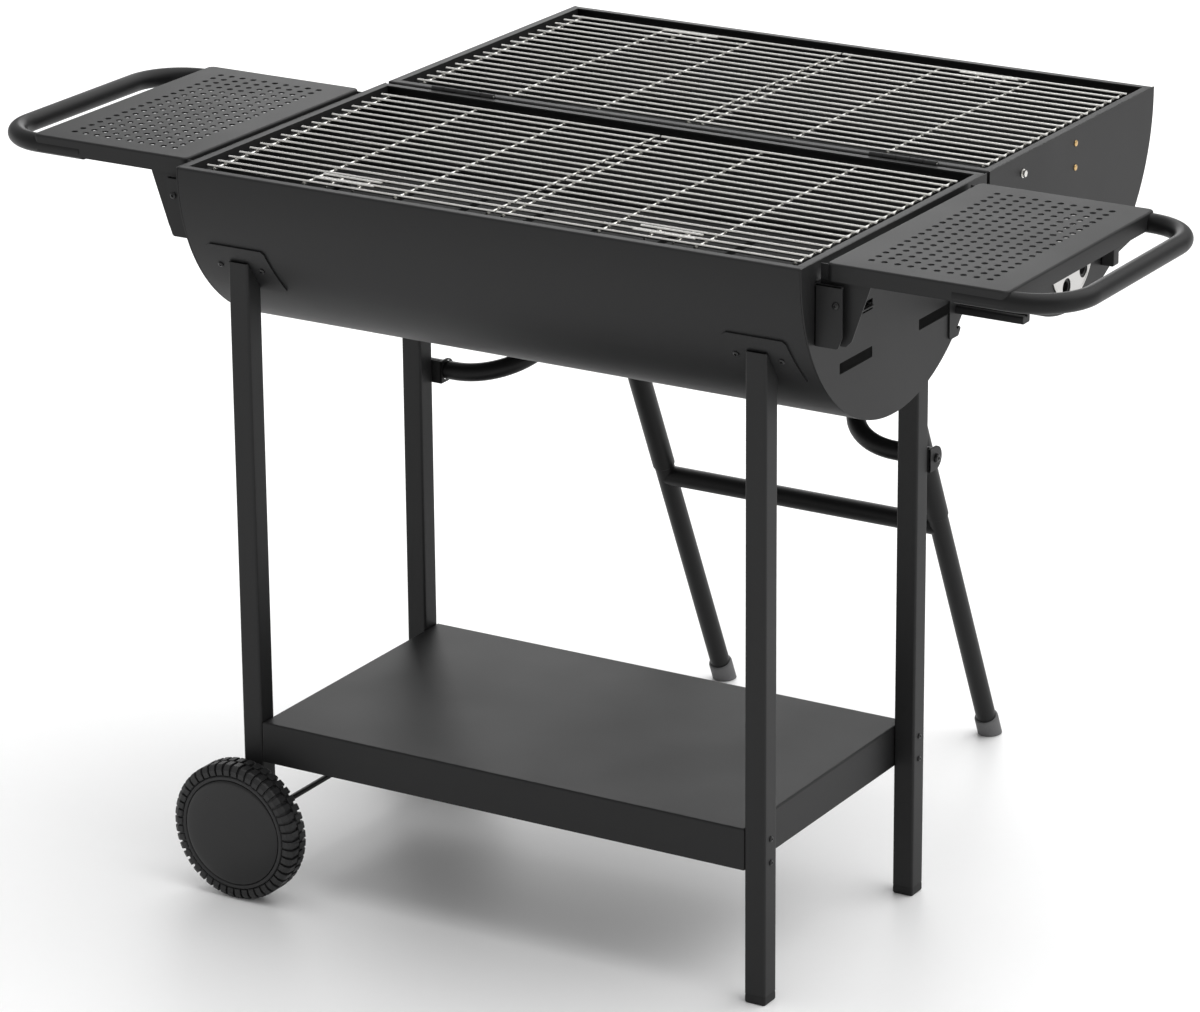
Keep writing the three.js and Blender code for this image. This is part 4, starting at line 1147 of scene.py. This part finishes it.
def saddle(node):
    b = box(node)
    middle_x = (b[0] + b[3]) / 2
    front = (b[1] + b[4]) / 2 < BARREL_Y
    rows = 16
    columns = 12
    points = []
    for k in range(rows + 1):
        share = k / rows
        z = b[2] + (b[5] - b[2]) * share
        half = MOUNT_HALF[0] + (MOUNT_HALF[1] - MOUNT_HALF[0]) * share
        near_end = min(share, 1 - share) * (b[5] - b[2])
        half -= max(0.0, 4 - math.sqrt(max(16 - max(4 - near_end, 0) ** 2, 0)))
        depth = math.sqrt((RADIUS + GAP + SHEET) ** 2 - (ARC_Z - z) ** 2)
        y = BARREL_Y - depth if front else BARREL_Y + depth
        points += [(middle_x + half * (2 * c / columns - 1), y, z) for c in range(columns + 1)]
    faces = []
    for k in range(rows):
        for c in range(columns):
            at = k * (columns + 1) + c
            quad = (at, at + 1, at + columns + 2, at + columns + 1)
            faces.append(quad if front else quad[::-1])
    sheet = thickened(raw_mesh(points, faces), SHEET)
    z = b[5] - 30
    depth = math.sqrt((RADIUS + GAP + SHEET) ** 2 - (ARC_Z - z) ** 2)
    way = -1 if front else 1
    spots = [(middle_x + reach, BARREL_Y + way * depth, z) for reach in (-32, 32)]
    tilt = Vector((0, way * depth, z - ARC_Z)).normalized()
    return sheet, screw_heads(spots, tilt, 4.2, 2.6)


for place, side in CORNERS:
    node = "leg_mount_" + place
    sheet, screws = saddle(node)
    add_piece(node + "_plate", [sheet], SHEET_COAT, "cart", [node])
    add_piece(node + "_screws", [screws], BLACK_SCREW, "cart")

# %% [markdown]
# The shelf between the legs is one sheet with all four sides folded down, which makes a stiff shallow
# box. The fold has a small radius, so its edge catches a soft line of light. Screws hold it to the right
# legs from outside.

# %% Shelf
b = box("shelf")
pan = pressed_tray(b[0], b[3], b[1], b[4], b[2], b[5], 3.0, 2.5)
add_piece("shelf_pressed", [pan], SHEET_COAT, "cart", ["shelf"])
spots = cap_screws("leg_front_right") + cap_screws("leg_rear_right")
add_piece("shelf_screws", [screw_heads(spots, (1, 0, 0), 3.8, 2.2)], BLACK_SCREW, "cart")

# %% [markdown]
# ## Wheels
# Two moulded wheels turn on one axle at the left. Each has a tread of short blocks in two rows round its
# rim, a stepped side wall, a web and a hub. A satin disc snaps into the outer face. The wheel is a spun
# profile, and the blocks are one small block repeated round the rim, its second row half a step on.

# %% Axle and wheels
a = box("axle")
AXLE = ((a[0] + a[3]) / 2, (a[2] + a[5]) / 2)
axle_radius = (a[5] - a[2]) / 2
axle = turned(rod_profile(axle_radius, a[1], a[4]), (AXLE[0], 0, AXLE[1]), (0, 1, 0), 32)
add_piece("axle_rod", [axle], TUBE_COAT, "cart", ["axle"])

TREAD_BLOCKS = 46


def tread_row(centre, wheel_radius, y0, y1, start, flip):
    """One row of lugs round a wheel, from y0 to y1. Each wraps from the tread over the side wall."""
    half = math.pi * wheel_radius / TREAD_BLOCKS * 0.66
    wide = y1 - y0
    lug = [(-15, 1.2), (-13.5, 0), (-7, 0), (-1.6, 3.4), (-0.05, 6), (-0.05, wide)]
    lug += [(-4.5, wide), (-5, 7), (-15, 3.6)]
    if flip:
        lug = [(r, wide - across) for r, across in lug]
    block = cut_sheet([fillet(lug, 0.7, 2, closed=True)], "xz", (-half, half), 0.4)
    mesh = ring.mesh(
        Block=template(block), Count=TREAD_BLOCKS, Radius=wheel_radius / 1000, Finish=WHEEL_PLASTIC
    )
    turn = Matrix.Rotation(math.radians(-90), 4, "X") @ Matrix.Rotation(start, 4, "Z")
    mesh.transform(Matrix.Translation(Vector((centre[0], y0, centre[1])) / 1000) @ turn)
    return closed_up(mesh)


for word, out in (("front", -1), ("rear", 1)):
    b = box("wheel_" + word)
    cap = box("hub_cap_" + word)
    radius = (b[5] - b[2]) / 2
    half = (b[4] - b[1]) / 2
    y = (b[1] + b[4]) / 2
    cap_radius = (cap[5] - cap[2]) / 2
    web = half - 7.6
    bead = cap_radius + 0.6
    tread = radius - 3
    profile = [
        (axle_radius + 0.4, web),
        (bead, web),
        (bead, half - 1.4),
        (bead + 0.8, half - 0.4),
        (bead + 2.2, half),
        (bead + 4.4, half),
        (bead + 5.4, half - 0.8),
        (bead + 6.2, half - 2.8),
        (tread - 5, half - 3.4),
        (tread - 1, half - 6.5),
        (tread, half - 9),
        (tread, 2.2),
        (tread - 1.5, 1.4),
        (tread - 1.5, -1.4),
        (tread, -2.2),
        (tread, -half + 9),
        (tread - 1, -half + 6.5),
        (tread - 5, -half + 3.4),
        (bead + 6, -half + 2.6),
        (bead + 4, -half + 0.4),
        (bead + 2, -half),
        (bead - 1, -half + 2),
        (bead - 4, web - 4),
        (18, web - 4),
        (16, web - 6),
        (16, -half + 1),
        (15, -half),
        (axle_radius + 0.4, -half),
    ]
    centre = (AXLE[0], y, AXLE[1])
    body = turned(profile, centre, (0, out, 0), 128, ring=True)
    rows = [
        tread_row(AXLE, radius, y - half, y - 1.2, 0.0, False),
        tread_row(AXLE, radius, y + 1.2, y + half, math.pi / TREAD_BLOCKS, True),
    ]
    node = "wheel_" + word
    add_piece(node + "_moulded", [body, *rows], WHEEL_PLASTIC, node, [node], crease=32)
    inside = web + GAP
    top = cap[4] - y if out > 0 else y - cap[1]
    dome = [
        (0, inside),
        (cap_radius, inside),
    ]
    dome += [
        (cap_radius * math.cos(t), half - 1 + (top - half + 0.95) * math.sin(t))
        for t in np.linspace(0, math.pi / 2, 24)
    ]
    disc = turned(dome, centre, (0, out, 0), 96)
    add_piece(f"hub_cap_{word}_disc", [disc], HUB_PLASTIC, node, ["hub_cap_" + word], crease=45)

# %% [markdown]
# ## Side tables
# A table is one perforated sheet folded down on three sides and on the inner side, with tapered gussets
# below. Its holes are a plain grid, ten by nineteen. Punching them one by one with booleans would be slow
# and untidy, so one rectangle of sheet with a hole in it is repeated, and the copies are welded at their
# edges. The border runs from the outermost of them to the fold.

# %% Table tops
HOLE_COLUMNS, HOLE_ROWS = 10, 19
HOLE_STEP_X, HOLE_STEP_Y, HOLE_RADIUS = 17.8, 18.53, 4.4
FIELD_FROM_INNER = 132.3  # from a table's inner edge to the middle of its holes
TABLE_FOLD = 22.5
GUSSET_PLAY = 3.0


def table_top(node, side):
    b = box(node)
    top = b[5]
    low = top - TABLE_FOLD
    front, back = b[1] + GUSSET_PLAY, b[4] - GUSSET_PLAY
    field_x = from_middle(b)[0] + FIELD_FROM_INNER
    field_y = (front + back) / 2
    half_x, half_y = HOLE_COLUMNS * HOLE_STEP_X / 2, HOLE_ROWS * HOLE_STEP_Y / 2
    x0, x1 = sorted((side * TABLE_INNER, side * TABLE_OUTER))
    cell = template(hole_cell(HOLE_STEP_X, HOLE_STEP_Y, HOLE_RADIUS))
    field = holes.mesh(
        Cell=cell,
        Columns=HOLE_COLUMNS,
        Rows=HOLE_ROWS,
        Step_X=HOLE_STEP_X / 1000,
        Step_Y=HOLE_STEP_Y / 1000,
        Finish=SHEET_COAT,
    )
    field.transform(Matrix.Translation(Vector((side * field_x, field_y, top)) / 1000))
    fx0, fx1 = side * field_x - half_x, side * field_x + half_x
    fy0, fy1 = field_y - half_y, field_y + half_y
    xs = [fx0 + (fx1 - fx0) * k / (2 * HOLE_COLUMNS) for k in range(2 * HOLE_COLUMNS + 1)]
    ys = [fy0 + (fy1 - fy0) * k / (2 * HOLE_ROWS) for k in range(2 * HOLE_ROWS + 1)]
    inside = [
        [(x, fy0) for x in xs],
        [(fx1, y) for y in ys],
        [(x, fy1) for x in xs[::-1]],
        [(fx0, y) for y in ys[::-1]],
    ]
    points, rows = [], []
    corner = 9.0
    for inset, z in folded_rings(low, top, 3.0):
        loop = rectangle(x0 + inset, x1 - inset, front + inset, back - inset, corner - inset, 6)
        rows.append(len(points))
        points += [(p[0], p[1], z) for p in loop]
    count = rows[1]
    faces = []
    for first, second in zip(rows, rows[1:]):
        faces += ring_faces(first, second, count)
    # The outer loop starts at its first corner, with seven points to each. Each side's face ends halfway
    # round one.
    for k in range(4):
        start = len(points)
        points += [(p[0], p[1], top) for p in inside[k]]
        first_corner = [7 * k + i for i in range(3, 7)]
        next_corner = [7 * ((k + 1) % 4) + i for i in range(0, 4)]
        outside = first_corner + next_corner
        faces.append(tuple(outside + list(range(start, len(points)))[::-1]))
    sheet = mesh_of(points, faces)
    work = bmesh.new()
    work.from_mesh(sheet)
    work.from_mesh(field)
    bmesh.ops.remove_doubles(work, verts=work.verts, dist=0.00005)
    bmesh.ops.recalc_face_normals(work, faces=work.faces)
    up = sum(f.normal.z * f.calc_area() for f in work.faces)
    if up < 0:
        bmesh.ops.reverse_faces(work, faces=work.faces)
    loose = sum(1 for e in work.edges if e.is_boundary)
    print(f"{node}: {loose} open edges before it is thickened")
    work.to_mesh(sheet)
    work.free()
    bpy.data.meshes.remove(field)
    return thickened(sheet, SHEET)


t = box("side_table_right")
TABLE_TOP = t[5]
TABLE_OUTER = t[3]
BRACKET = box("table_bracket_front_right")
TABLE_INNER = BRACKET[0] + 11.9
TABLE_SCREW = (BRACKET[0] + 28.9, BRACKET[5] - 24)
GUSSET_FOOT = t[2]
GUSSET_TAPER = (495, 503, 529)
print(f"tables reach from {TABLE_INNER:.0f} to {TABLE_OUTER:.0f} mm either side of the middle")

# %% [markdown]
# Each gusset hangs behind a bracket on the barrel's end, and one screw through both holds the table. The
# bracket is a small folded channel: a flange on the end plate, a web beside the gusset and a lip over the
# top.

# %% Tables with their gussets, brackets and screws
for word, side in SIDES:
    node = "side_table_" + word
    b = box(node)
    parts = [table_top(node, side)]
    start = END_FACE + 2.6
    gusset = [
        (start, TABLE_TOP - 3),
        (start, GUSSET_FOOT),
        (GUSSET_TAPER[0], GUSSET_FOOT),
        (GUSSET_TAPER[1], GUSSET_FOOT + 8),
        (GUSSET_TAPER[2], TABLE_TOP - TABLE_FOLD),
        (GUSSET_TAPER[2], TABLE_TOP - 3),
    ]
    outline = fillet(mirrored(gusset, side), [0, 1, 5, 5, 1, 0], 4, closed=True)
    screw_x, screw_z = side * TABLE_SCREW[0], TABLE_SCREW[1]
    spot = circle((screw_x, screw_z), 3, 16)
    for y0, y1 in ((b[1] + 8, b[1] + 10), (b[4] - 10, b[4] - 8)):
        parts.append(cut_sheet([outline, spot], "xz", (y0, y1), 0.25))
    add_piece(node + "_perforated", parts, SHEET_COAT, "cart", [node])
    for place, inwards in (("front", 1), ("rear", -1)):
        node = f"table_bracket_{place}_{word}"
        k = box(node)
        near, far = from_middle(k)
        face = k[1] if inwards > 0 else k[4]
        web = fillet(
            mirrored([(near, k[5]), (near, k[2]), (far - 6, k[2]), (far, k[2] + 16), (far, k[5])], side),
            [1, 1, 4, 5, 2],
            4,
            closed=True,
        )
        parts = [
            cut_sheet([web, spot], "xz", (face, face + inwards * SHEET), 0.35),
            panel(side * near, side * (near + SHEET), face, face + inwards * 34, k[2], k[5], 3),
            panel(side * near, side * far, face, face + inwards * 2 * SHEET, k[5] - SHEET, k[5], 1),
        ]
        add_piece(node + "_folded", parts, SHEET_COAT, "cart", [node])
        screw = screw_heads([(screw_x, face, screw_z)], (0, -inwards, 0), 4.6, 2.8)
        rivets_y = face + inwards * 24
        plate_screws = screw_heads(
            [(side * (near + SHEET), rivets_y, z) for z in (k[2] + 16, k[5] - 16)], (side, 0, 0), 4.2, 2.4
        )
        add_piece(node + "_screws", [screw, plate_screws], BLACK_SCREW, "cart")

# %% [markdown]
# A bent round tube makes the handle at the end of each table. Its two roots lie under the table against
# the side folds. The path is four corners with a wide bend at the outer two, and the tube is a circle
# carried along it.

# %% Table handles
for word, side in SIDES:
    node = "table_handle_" + word
    b = box(node)
    radius = (b[5] - b[2]) / 2
    z = (b[2] + b[5]) / 2
    root, reach = from_middle(b)
    reach -= radius
    y0, y1 = b[1] + radius, b[4] - radius
    corners = [(side * x, y, z) for x, y in ((root, y0), (reach, y0), (reach, y1), (root, y1))]
    loop = fillet(corners, [0, 72, 72, 0], 18)
    add_piece(node + "_tube", [bent_tube(loop, radius, 32)], TUBE_COAT, "cart", [node])

# %% [markdown]
# A flat plate with a J-shaped tip and a short bar stands on the right-hand end plate, to hang a tool
# from.

# %% Side hook
b = box("side_hook")
y0, y1, z0, z1 = b[1], b[4], b[2], b[5]
tip = [(y0, z1), (y0, z0 + 4), (y0 + 4, z0), (y1 - 10, z0), (y1 - 4, z0 + 9), (y1 - 8, z0 + 13)]
tip += [(y1 - 14, z0 + 9), (y1 - 16, z0 + 13), (y1, z0 + 42), (y1, z1)]
outline = fillet(tip, [3, 1, 2, 3, 2, 2, 1.5, 2, 6, 3], 4, closed=True)
plate = cut_sheet([outline], "yz", (b[0], b[0] + SHEET), 0.35)
bar_low, bar_high = z0 + 31, z0 + 42
groove = [(y1 - 20, bar_low), (y1, bar_low), (y1, bar_high), (y1 - 7, bar_high), (y1 - 8, bar_high - 2.5)]
groove += [(y1 - 12, bar_high - 2.5), (y1 - 13, bar_high), (y1 - 20, bar_high)]
bar = cut_sheet([fillet(groove, [3, 3, 3, 1, 1, 1, 1, 3], 3, closed=True)], "yz", (b[0] + 1, b[3]), 1.2)
add_piece("side_hook_plate", [plate, bar], SHEET_COAT, "cart", ["side_hook"])
screws = screw_heads([(b[0] + SHEET, (y0 + y1) / 2, z1 - drop) for drop in (8, 24)], (1, 0, 0), 3.6, 2)
add_piece("side_hook_screws", [screws], BLACK_SCREW, "cart")

# %% [markdown]
# ## The rear frame
# Two ears behind the rear legs carry a tubular frame that reaches back under the open lid and stands on
# the floor. It keeps the grill from tipping when the lid's half is full. Each arm bends back from its ear
# and is welded to a sloping sleeve, and a lower frame plugs into both sleeves. All of it is round tube
# along a bent path.

# %% Ears and pivot bolts
for word, side in SIDES:
    node = "support_ear_" + word
    b = box(node)
    inner, outer = from_middle(b)
    low, high = b[2], b[5]
    nose = (high - low) / 2
    pivot_y, pivot_z = b[4] - nose, (low + high) / 2
    cheek = [(b[1], high), (b[1], low)] + arc((pivot_y, pivot_z), nose, -90, 90, 20)
    arm_hole = circle((pivot_y, pivot_z), 13.6, 32)
    bolt_hole = circle((pivot_y, pivot_z), 3.3, 20)
    parts = [
        cut_sheet([cheek, bolt_hole], "yz", (side * (outer - 3), side * outer), 0.35),
        cut_sheet([cheek, arm_hole], "yz", (side * inner, side * (inner + 3)), 0.35),
        panel(side * inner, side * outer, b[1], b[1] + 1.5, low, high, 1.5),
    ]
    add_piece(node + "_bracket", parts, SHEET_COAT, "cart", [node])
    node = "support_pivot_bolt_" + word
    k = box(node)
    near, far = from_middle(k)
    shank = [(0, near), (3, near), (3, outer + GAP), (6.2, outer + GAP), (6.2, outer + 1.2)]
    shank = turned([*shank, (0, outer + 1.2)], (0, pivot_y, pivot_z), (side, 0, 0), 32)
    rim = [(0, outer + 1.1), (5.8, outer + 1.1), (5.8, outer + 2), (4.9, far - 0.3), (3.6, far), (2.2, far)]
    head = turned([*rim, (2.2, far - 1.6), (0, far - 1.6)], (0, pivot_y, pivot_z), (side, 0, 0), 32)
    add_piece(node + "_head", [shank, head], BLACK_SCREW, "cart", [node])
print(f"the frame swings about y {pivot_y:.1f} mm, {pivot_z:.0f} mm above the floor")

# %% Arms, lower frame and feet
LEAN = math.radians(24.4)
ARM_RISE = math.radians(21.4)
ARM_X, ARM_REACH, ARM_BEND, ARM_RADIUS = 244.0, 240.0, 97.0, 12.7
SLEEVE_RADIUS, SLEEVE_END, SLEEVE_TOP = 16.0, 385.0, 706.0
LOWER_RADIUS, CROSSBAR_Z, FOOT_END = 14.3, 366.0, 8.0
lower = box("support_lower_frame")
PROP_X = lower[3] - LOWER_RADIUS
FLOOR_Y = (lower[1] + lower[4]) / 2 + math.tan(LEAN) * (lower[2] + lower[5]) / 2


def on_prop(side, z):
    return (side * PROP_X, FLOOR_Y - z * math.tan(LEAN), z)


slope = Vector((0, -math.sin(LEAN), math.cos(LEAN)))
for word, side in SIDES:
    node = "support_arm_" + word
    root = box("support_ear_" + word)
    corners = [
        (side * (max(abs(root[0]), abs(root[3])) - 3.3), pivot_y, pivot_z),
        (side * ARM_X, pivot_y, pivot_z),
        (side * ARM_X, pivot_y + ARM_REACH * math.cos(ARM_RISE), pivot_z + ARM_REACH * math.sin(ARM_RISE)),
    ]
    arm = bent_tube(fillet(corners, [0, ARM_BEND, 0], 18), ARM_RADIUS, 32)
    length = (SLEEVE_TOP - SLEEVE_END) / math.cos(LEAN)
    sleeve = turned(
        [
            (LOWER_RADIUS + GAP, 0),
            (SLEEVE_RADIUS - 0.6, 0),
            (SLEEVE_RADIUS, 0.6),
            (SLEEVE_RADIUS, length - 1.2),
            (SLEEVE_RADIUS - 1.2, length),
            (0, length),
            (0, length - 2),
            (LOWER_RADIUS + GAP, length - 2),
        ],
        on_prop(side, SLEEVE_END),
        slope,
        48,
        ring=True,
    )
    add_piece(node + "_tube", [arm, sleeve], TUBE_COAT, "support_frame", [node])

parts = []
for _, side in SIDES:
    parts.append(bent_tube([on_prop(side, FOOT_END), on_prop(side, lower[5] - 6)], LOWER_RADIUS, 40))
ends = [(side * PROP_X, FLOOR_Y - CROSSBAR_Z * math.tan(LEAN), CROSSBAR_Z) for side in (-1, 1)]
parts.append(bent_tube(ends, LOWER_RADIUS, 40))
add_piece(
    "support_lower_frame_tube", parts, TUBE_COAT, "support_frame", ["support_lower_frame"]
)
across = Vector((0, math.cos(LEAN), math.sin(LEAN)))
for word, side in SIDES:
    spot = Vector(on_prop(side, SLEEVE_END + 14)) + across * (SLEEVE_RADIUS - 0.2)
    screw = screw_heads([tuple(spot)], tuple(across), 3.4, 1.8)
    add_piece(f"support_sleeve_screw_{word}", [screw], BLACK_SCREW, "support_frame")

# %% [markdown]
# The rubber feet are moulded to the slope of the tube but stand flat on the floor. Each is a cup turned
# about the leaning tube, with a rounded mouth, whose lower points are pushed up to the floor's level.

# %% Rubber feet
for word, side in SIDES:
    node = "support_foot_" + word
    b = box(node)
    radius = (b[3] - b[0]) / 2
    mouth = (30 - FOOT_END) / math.cos(LEAN)
    profile = [(0, -24), (radius - 1.2, -24), (radius, -22), (radius, mouth - 5), (radius, mouth - 2.5)]
    profile += [(radius - 0.5, mouth - 0.8), (radius - 1.6, mouth), (LOWER_RADIUS + 0.2, mouth)]
    profile += [(LOWER_RADIUS + 0.2, 1), (0, 1)]
    dense = []
    for (r0, d0), (r1, d1) in zip(profile, profile[1:]):
        steps = max(1, math.ceil(abs(d1 - d0) / 2))
        dense += [(r0 + (r1 - r0) * i / steps, d0 + (d1 - d0) * i / steps) for i in range(steps)]
    dense.append(profile[-1])
    cup = turned(dense, on_prop(side, FOOT_END), slope, 56)
    for v in cup.vertices:
        if v.co.z < 0.0002:
            up = (0.0002 - v.co.z) / slope.z
            v.co += up * slope
    add_piece(node + "_moulded", [closed_up(cup)], FOOT_RUBBER, "support_frame", [node])

# %% [markdown]
# ## Lid handle
# A bar along the lid stands off its skin, between two arms on the end plates. It is gripped from behind
# to swing the lid over. The arms are cut plate with a thick foot.

# %% Lid handle and its arms
b = box("lid_handle")
bar_radius = (b[5] - b[2]) / 2
bar_y, bar_z = (b[1] + b[4]) / 2, (b[2] + b[5]) / 2
bar = turned(rod_profile(bar_radius, b[0], b[3]), (0, bar_y, bar_z), (1, 0, 0), 32)
add_piece("lid_handle_bar", [bar], TUBE_COAT, "lid", ["lid_handle"])
for word, side in SIDES:
    node = "lid_handle_bracket_" + word
    b = box(node)
    near, far = from_middle(b)
    foot_y0, foot_y1, foot_z0, foot_z1 = b[1], b[1] + 16, b[2], b[2] + 26
    arm = [
        (foot_y0, foot_z0),
        (foot_y1 + 4, foot_z0),
        (bar_y + 5, bar_z - 10),
        (bar_y + 10, bar_z - 5),
        (bar_y + 10, bar_z + 5),
        (bar_y + 5, bar_z + 10),
        (foot_y0, foot_z1),
    ]
    outline = fillet(arm, [1.5, 6, 4, 4, 4, 4, 2], 4, closed=True)
    bore = circle((bar_y, bar_z), bar_radius + GAP, 32)
    web = cut_sheet([outline, bore], "yz", (side * near, side * (near + 3)), 0.4)
    block = [
        (near, foot_z0),
        (far, foot_z0),
        (far, foot_z1),
        (near + 10, foot_z1),
        (near + 3, foot_z1 - 8),
        (near, foot_z1 - 8),
    ]
    foot = cut_sheet(
        [fillet(mirrored(block, side), [1, 3, 3, 2, 1, 0.5], 4, closed=True)], "xz", (foot_y0, foot_y1), 1.2
    )
    add_piece(node + "_arm", [web, foot], SHEET_COAT, "lid", [node])

# %% [markdown]
# ## Floor, light and camera
# The floor is a wide pale sheet. A pale sky lights everything softly, and three wide lamps shape the
# metal: one high above for the tops, one from the right for the ends, and one low at the back, whose
# sheen lies on the shelf and the tables. The camera stands well back with a long lens.

# %% Floor
bpy.ops.mesh.primitive_plane_add(size=60, location=(0, 0, -0.0005))
floor = bpy.context.object
floor.name = "studio_floor"
paper = Finish("floor_paper", (0.93, 0.93, 0.93), 0.9)
fibre = paper.noise(60, 3)
paper.tint(fibre, 0.995, 1.005)
floor.data.materials.append(paper.material)
floor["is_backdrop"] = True

# %% Sky and lamps
world = bpy.data.worlds.new("studio")
bpy.context.scene.world = world
world.use_nodes = True
SKY = 0.52
world.node_tree.nodes["Background"].inputs["Color"].default_value = (1, 1, 1, 1)
world.node_tree.nodes["Background"].inputs["Strength"].default_value = SKY


def lamp(name, place, target, width, height, power):
    data = bpy.data.lights.new(name, "AREA")
    data.shape = "RECTANGLE"
    data.size, data.size_y = width, height
    data.energy = power
    made = bpy.data.objects.new(name, data)
    bpy.context.scene.collection.objects.link(made)
    made.location = place
    made.rotation_mode = "QUATERNION"
    made.rotation_quaternion = (Vector(target) - Vector(place)).to_track_quat("-Z", "Y")
    return made


overhead = bpy.data.lights.new("overhead_lamp", "SUN")
overhead.energy = 2.6
overhead.angle = math.radians(80)
above = bpy.data.objects.new("overhead_lamp", overhead)
bpy.context.scene.collection.objects.link(above)
above.rotation_mode = "QUATERNION"
above.rotation_quaternion = Vector((-0.25, -0.35, -1)).to_track_quat("-Z", "Y")
lamp("right_lamp", (4.6, -0.6, 1.9), (0, 0, 0.7), 2.4, 2.4, 16)
lamp("rear_lamp", (-2.6, 4.4, 2.0), (0, -0.2, 0.3), 2.4, 2.4, 40)

# %% Camera
bpy.context.scene.view_settings.view_transform = "Standard"
CAMERA_PLACE = Vector((3.363, -5.7587, 2.807))
CAMERA_RIGHT = Vector((0.8659, 0.5002, -0.0017))
CAMERA_UP = Vector((-0.1635, 0.2861, 0.9441))
lens = bpy.data.cameras.new("camera")
lens.lens = 157.27
lens.sensor_width = 36
lens.sensor_fit = "HORIZONTAL"
lens.shift_x, lens.shift_y = -0.0828, -0.0107
lens.clip_start, lens.clip_end = 0.1, 100
camera = bpy.data.objects.new("camera", lens)
bpy.context.scene.collection.objects.link(camera)
right = CAMERA_RIGHT.normalized()
back = right.cross(CAMERA_UP).normalized()
up = back.cross(right)
camera.rotation_mode = "QUATERNION"
camera.rotation_quaternion = Matrix((right, up, back)).transposed().to_quaternion()
camera.location = CAMERA_PLACE
bpy.context.scene.camera = camera

# %% The size of the frame and of the finished pieces
bpy.context.view_layer.update()
visual_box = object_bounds()
sizes = {"cad": [list(v) for v in CAD_BOX], "visual": [list(v) for v in visual_box]}
for name, corners in sizes.items():
    print(name, [[round(c, 4) for c in corner] for corner in corners])
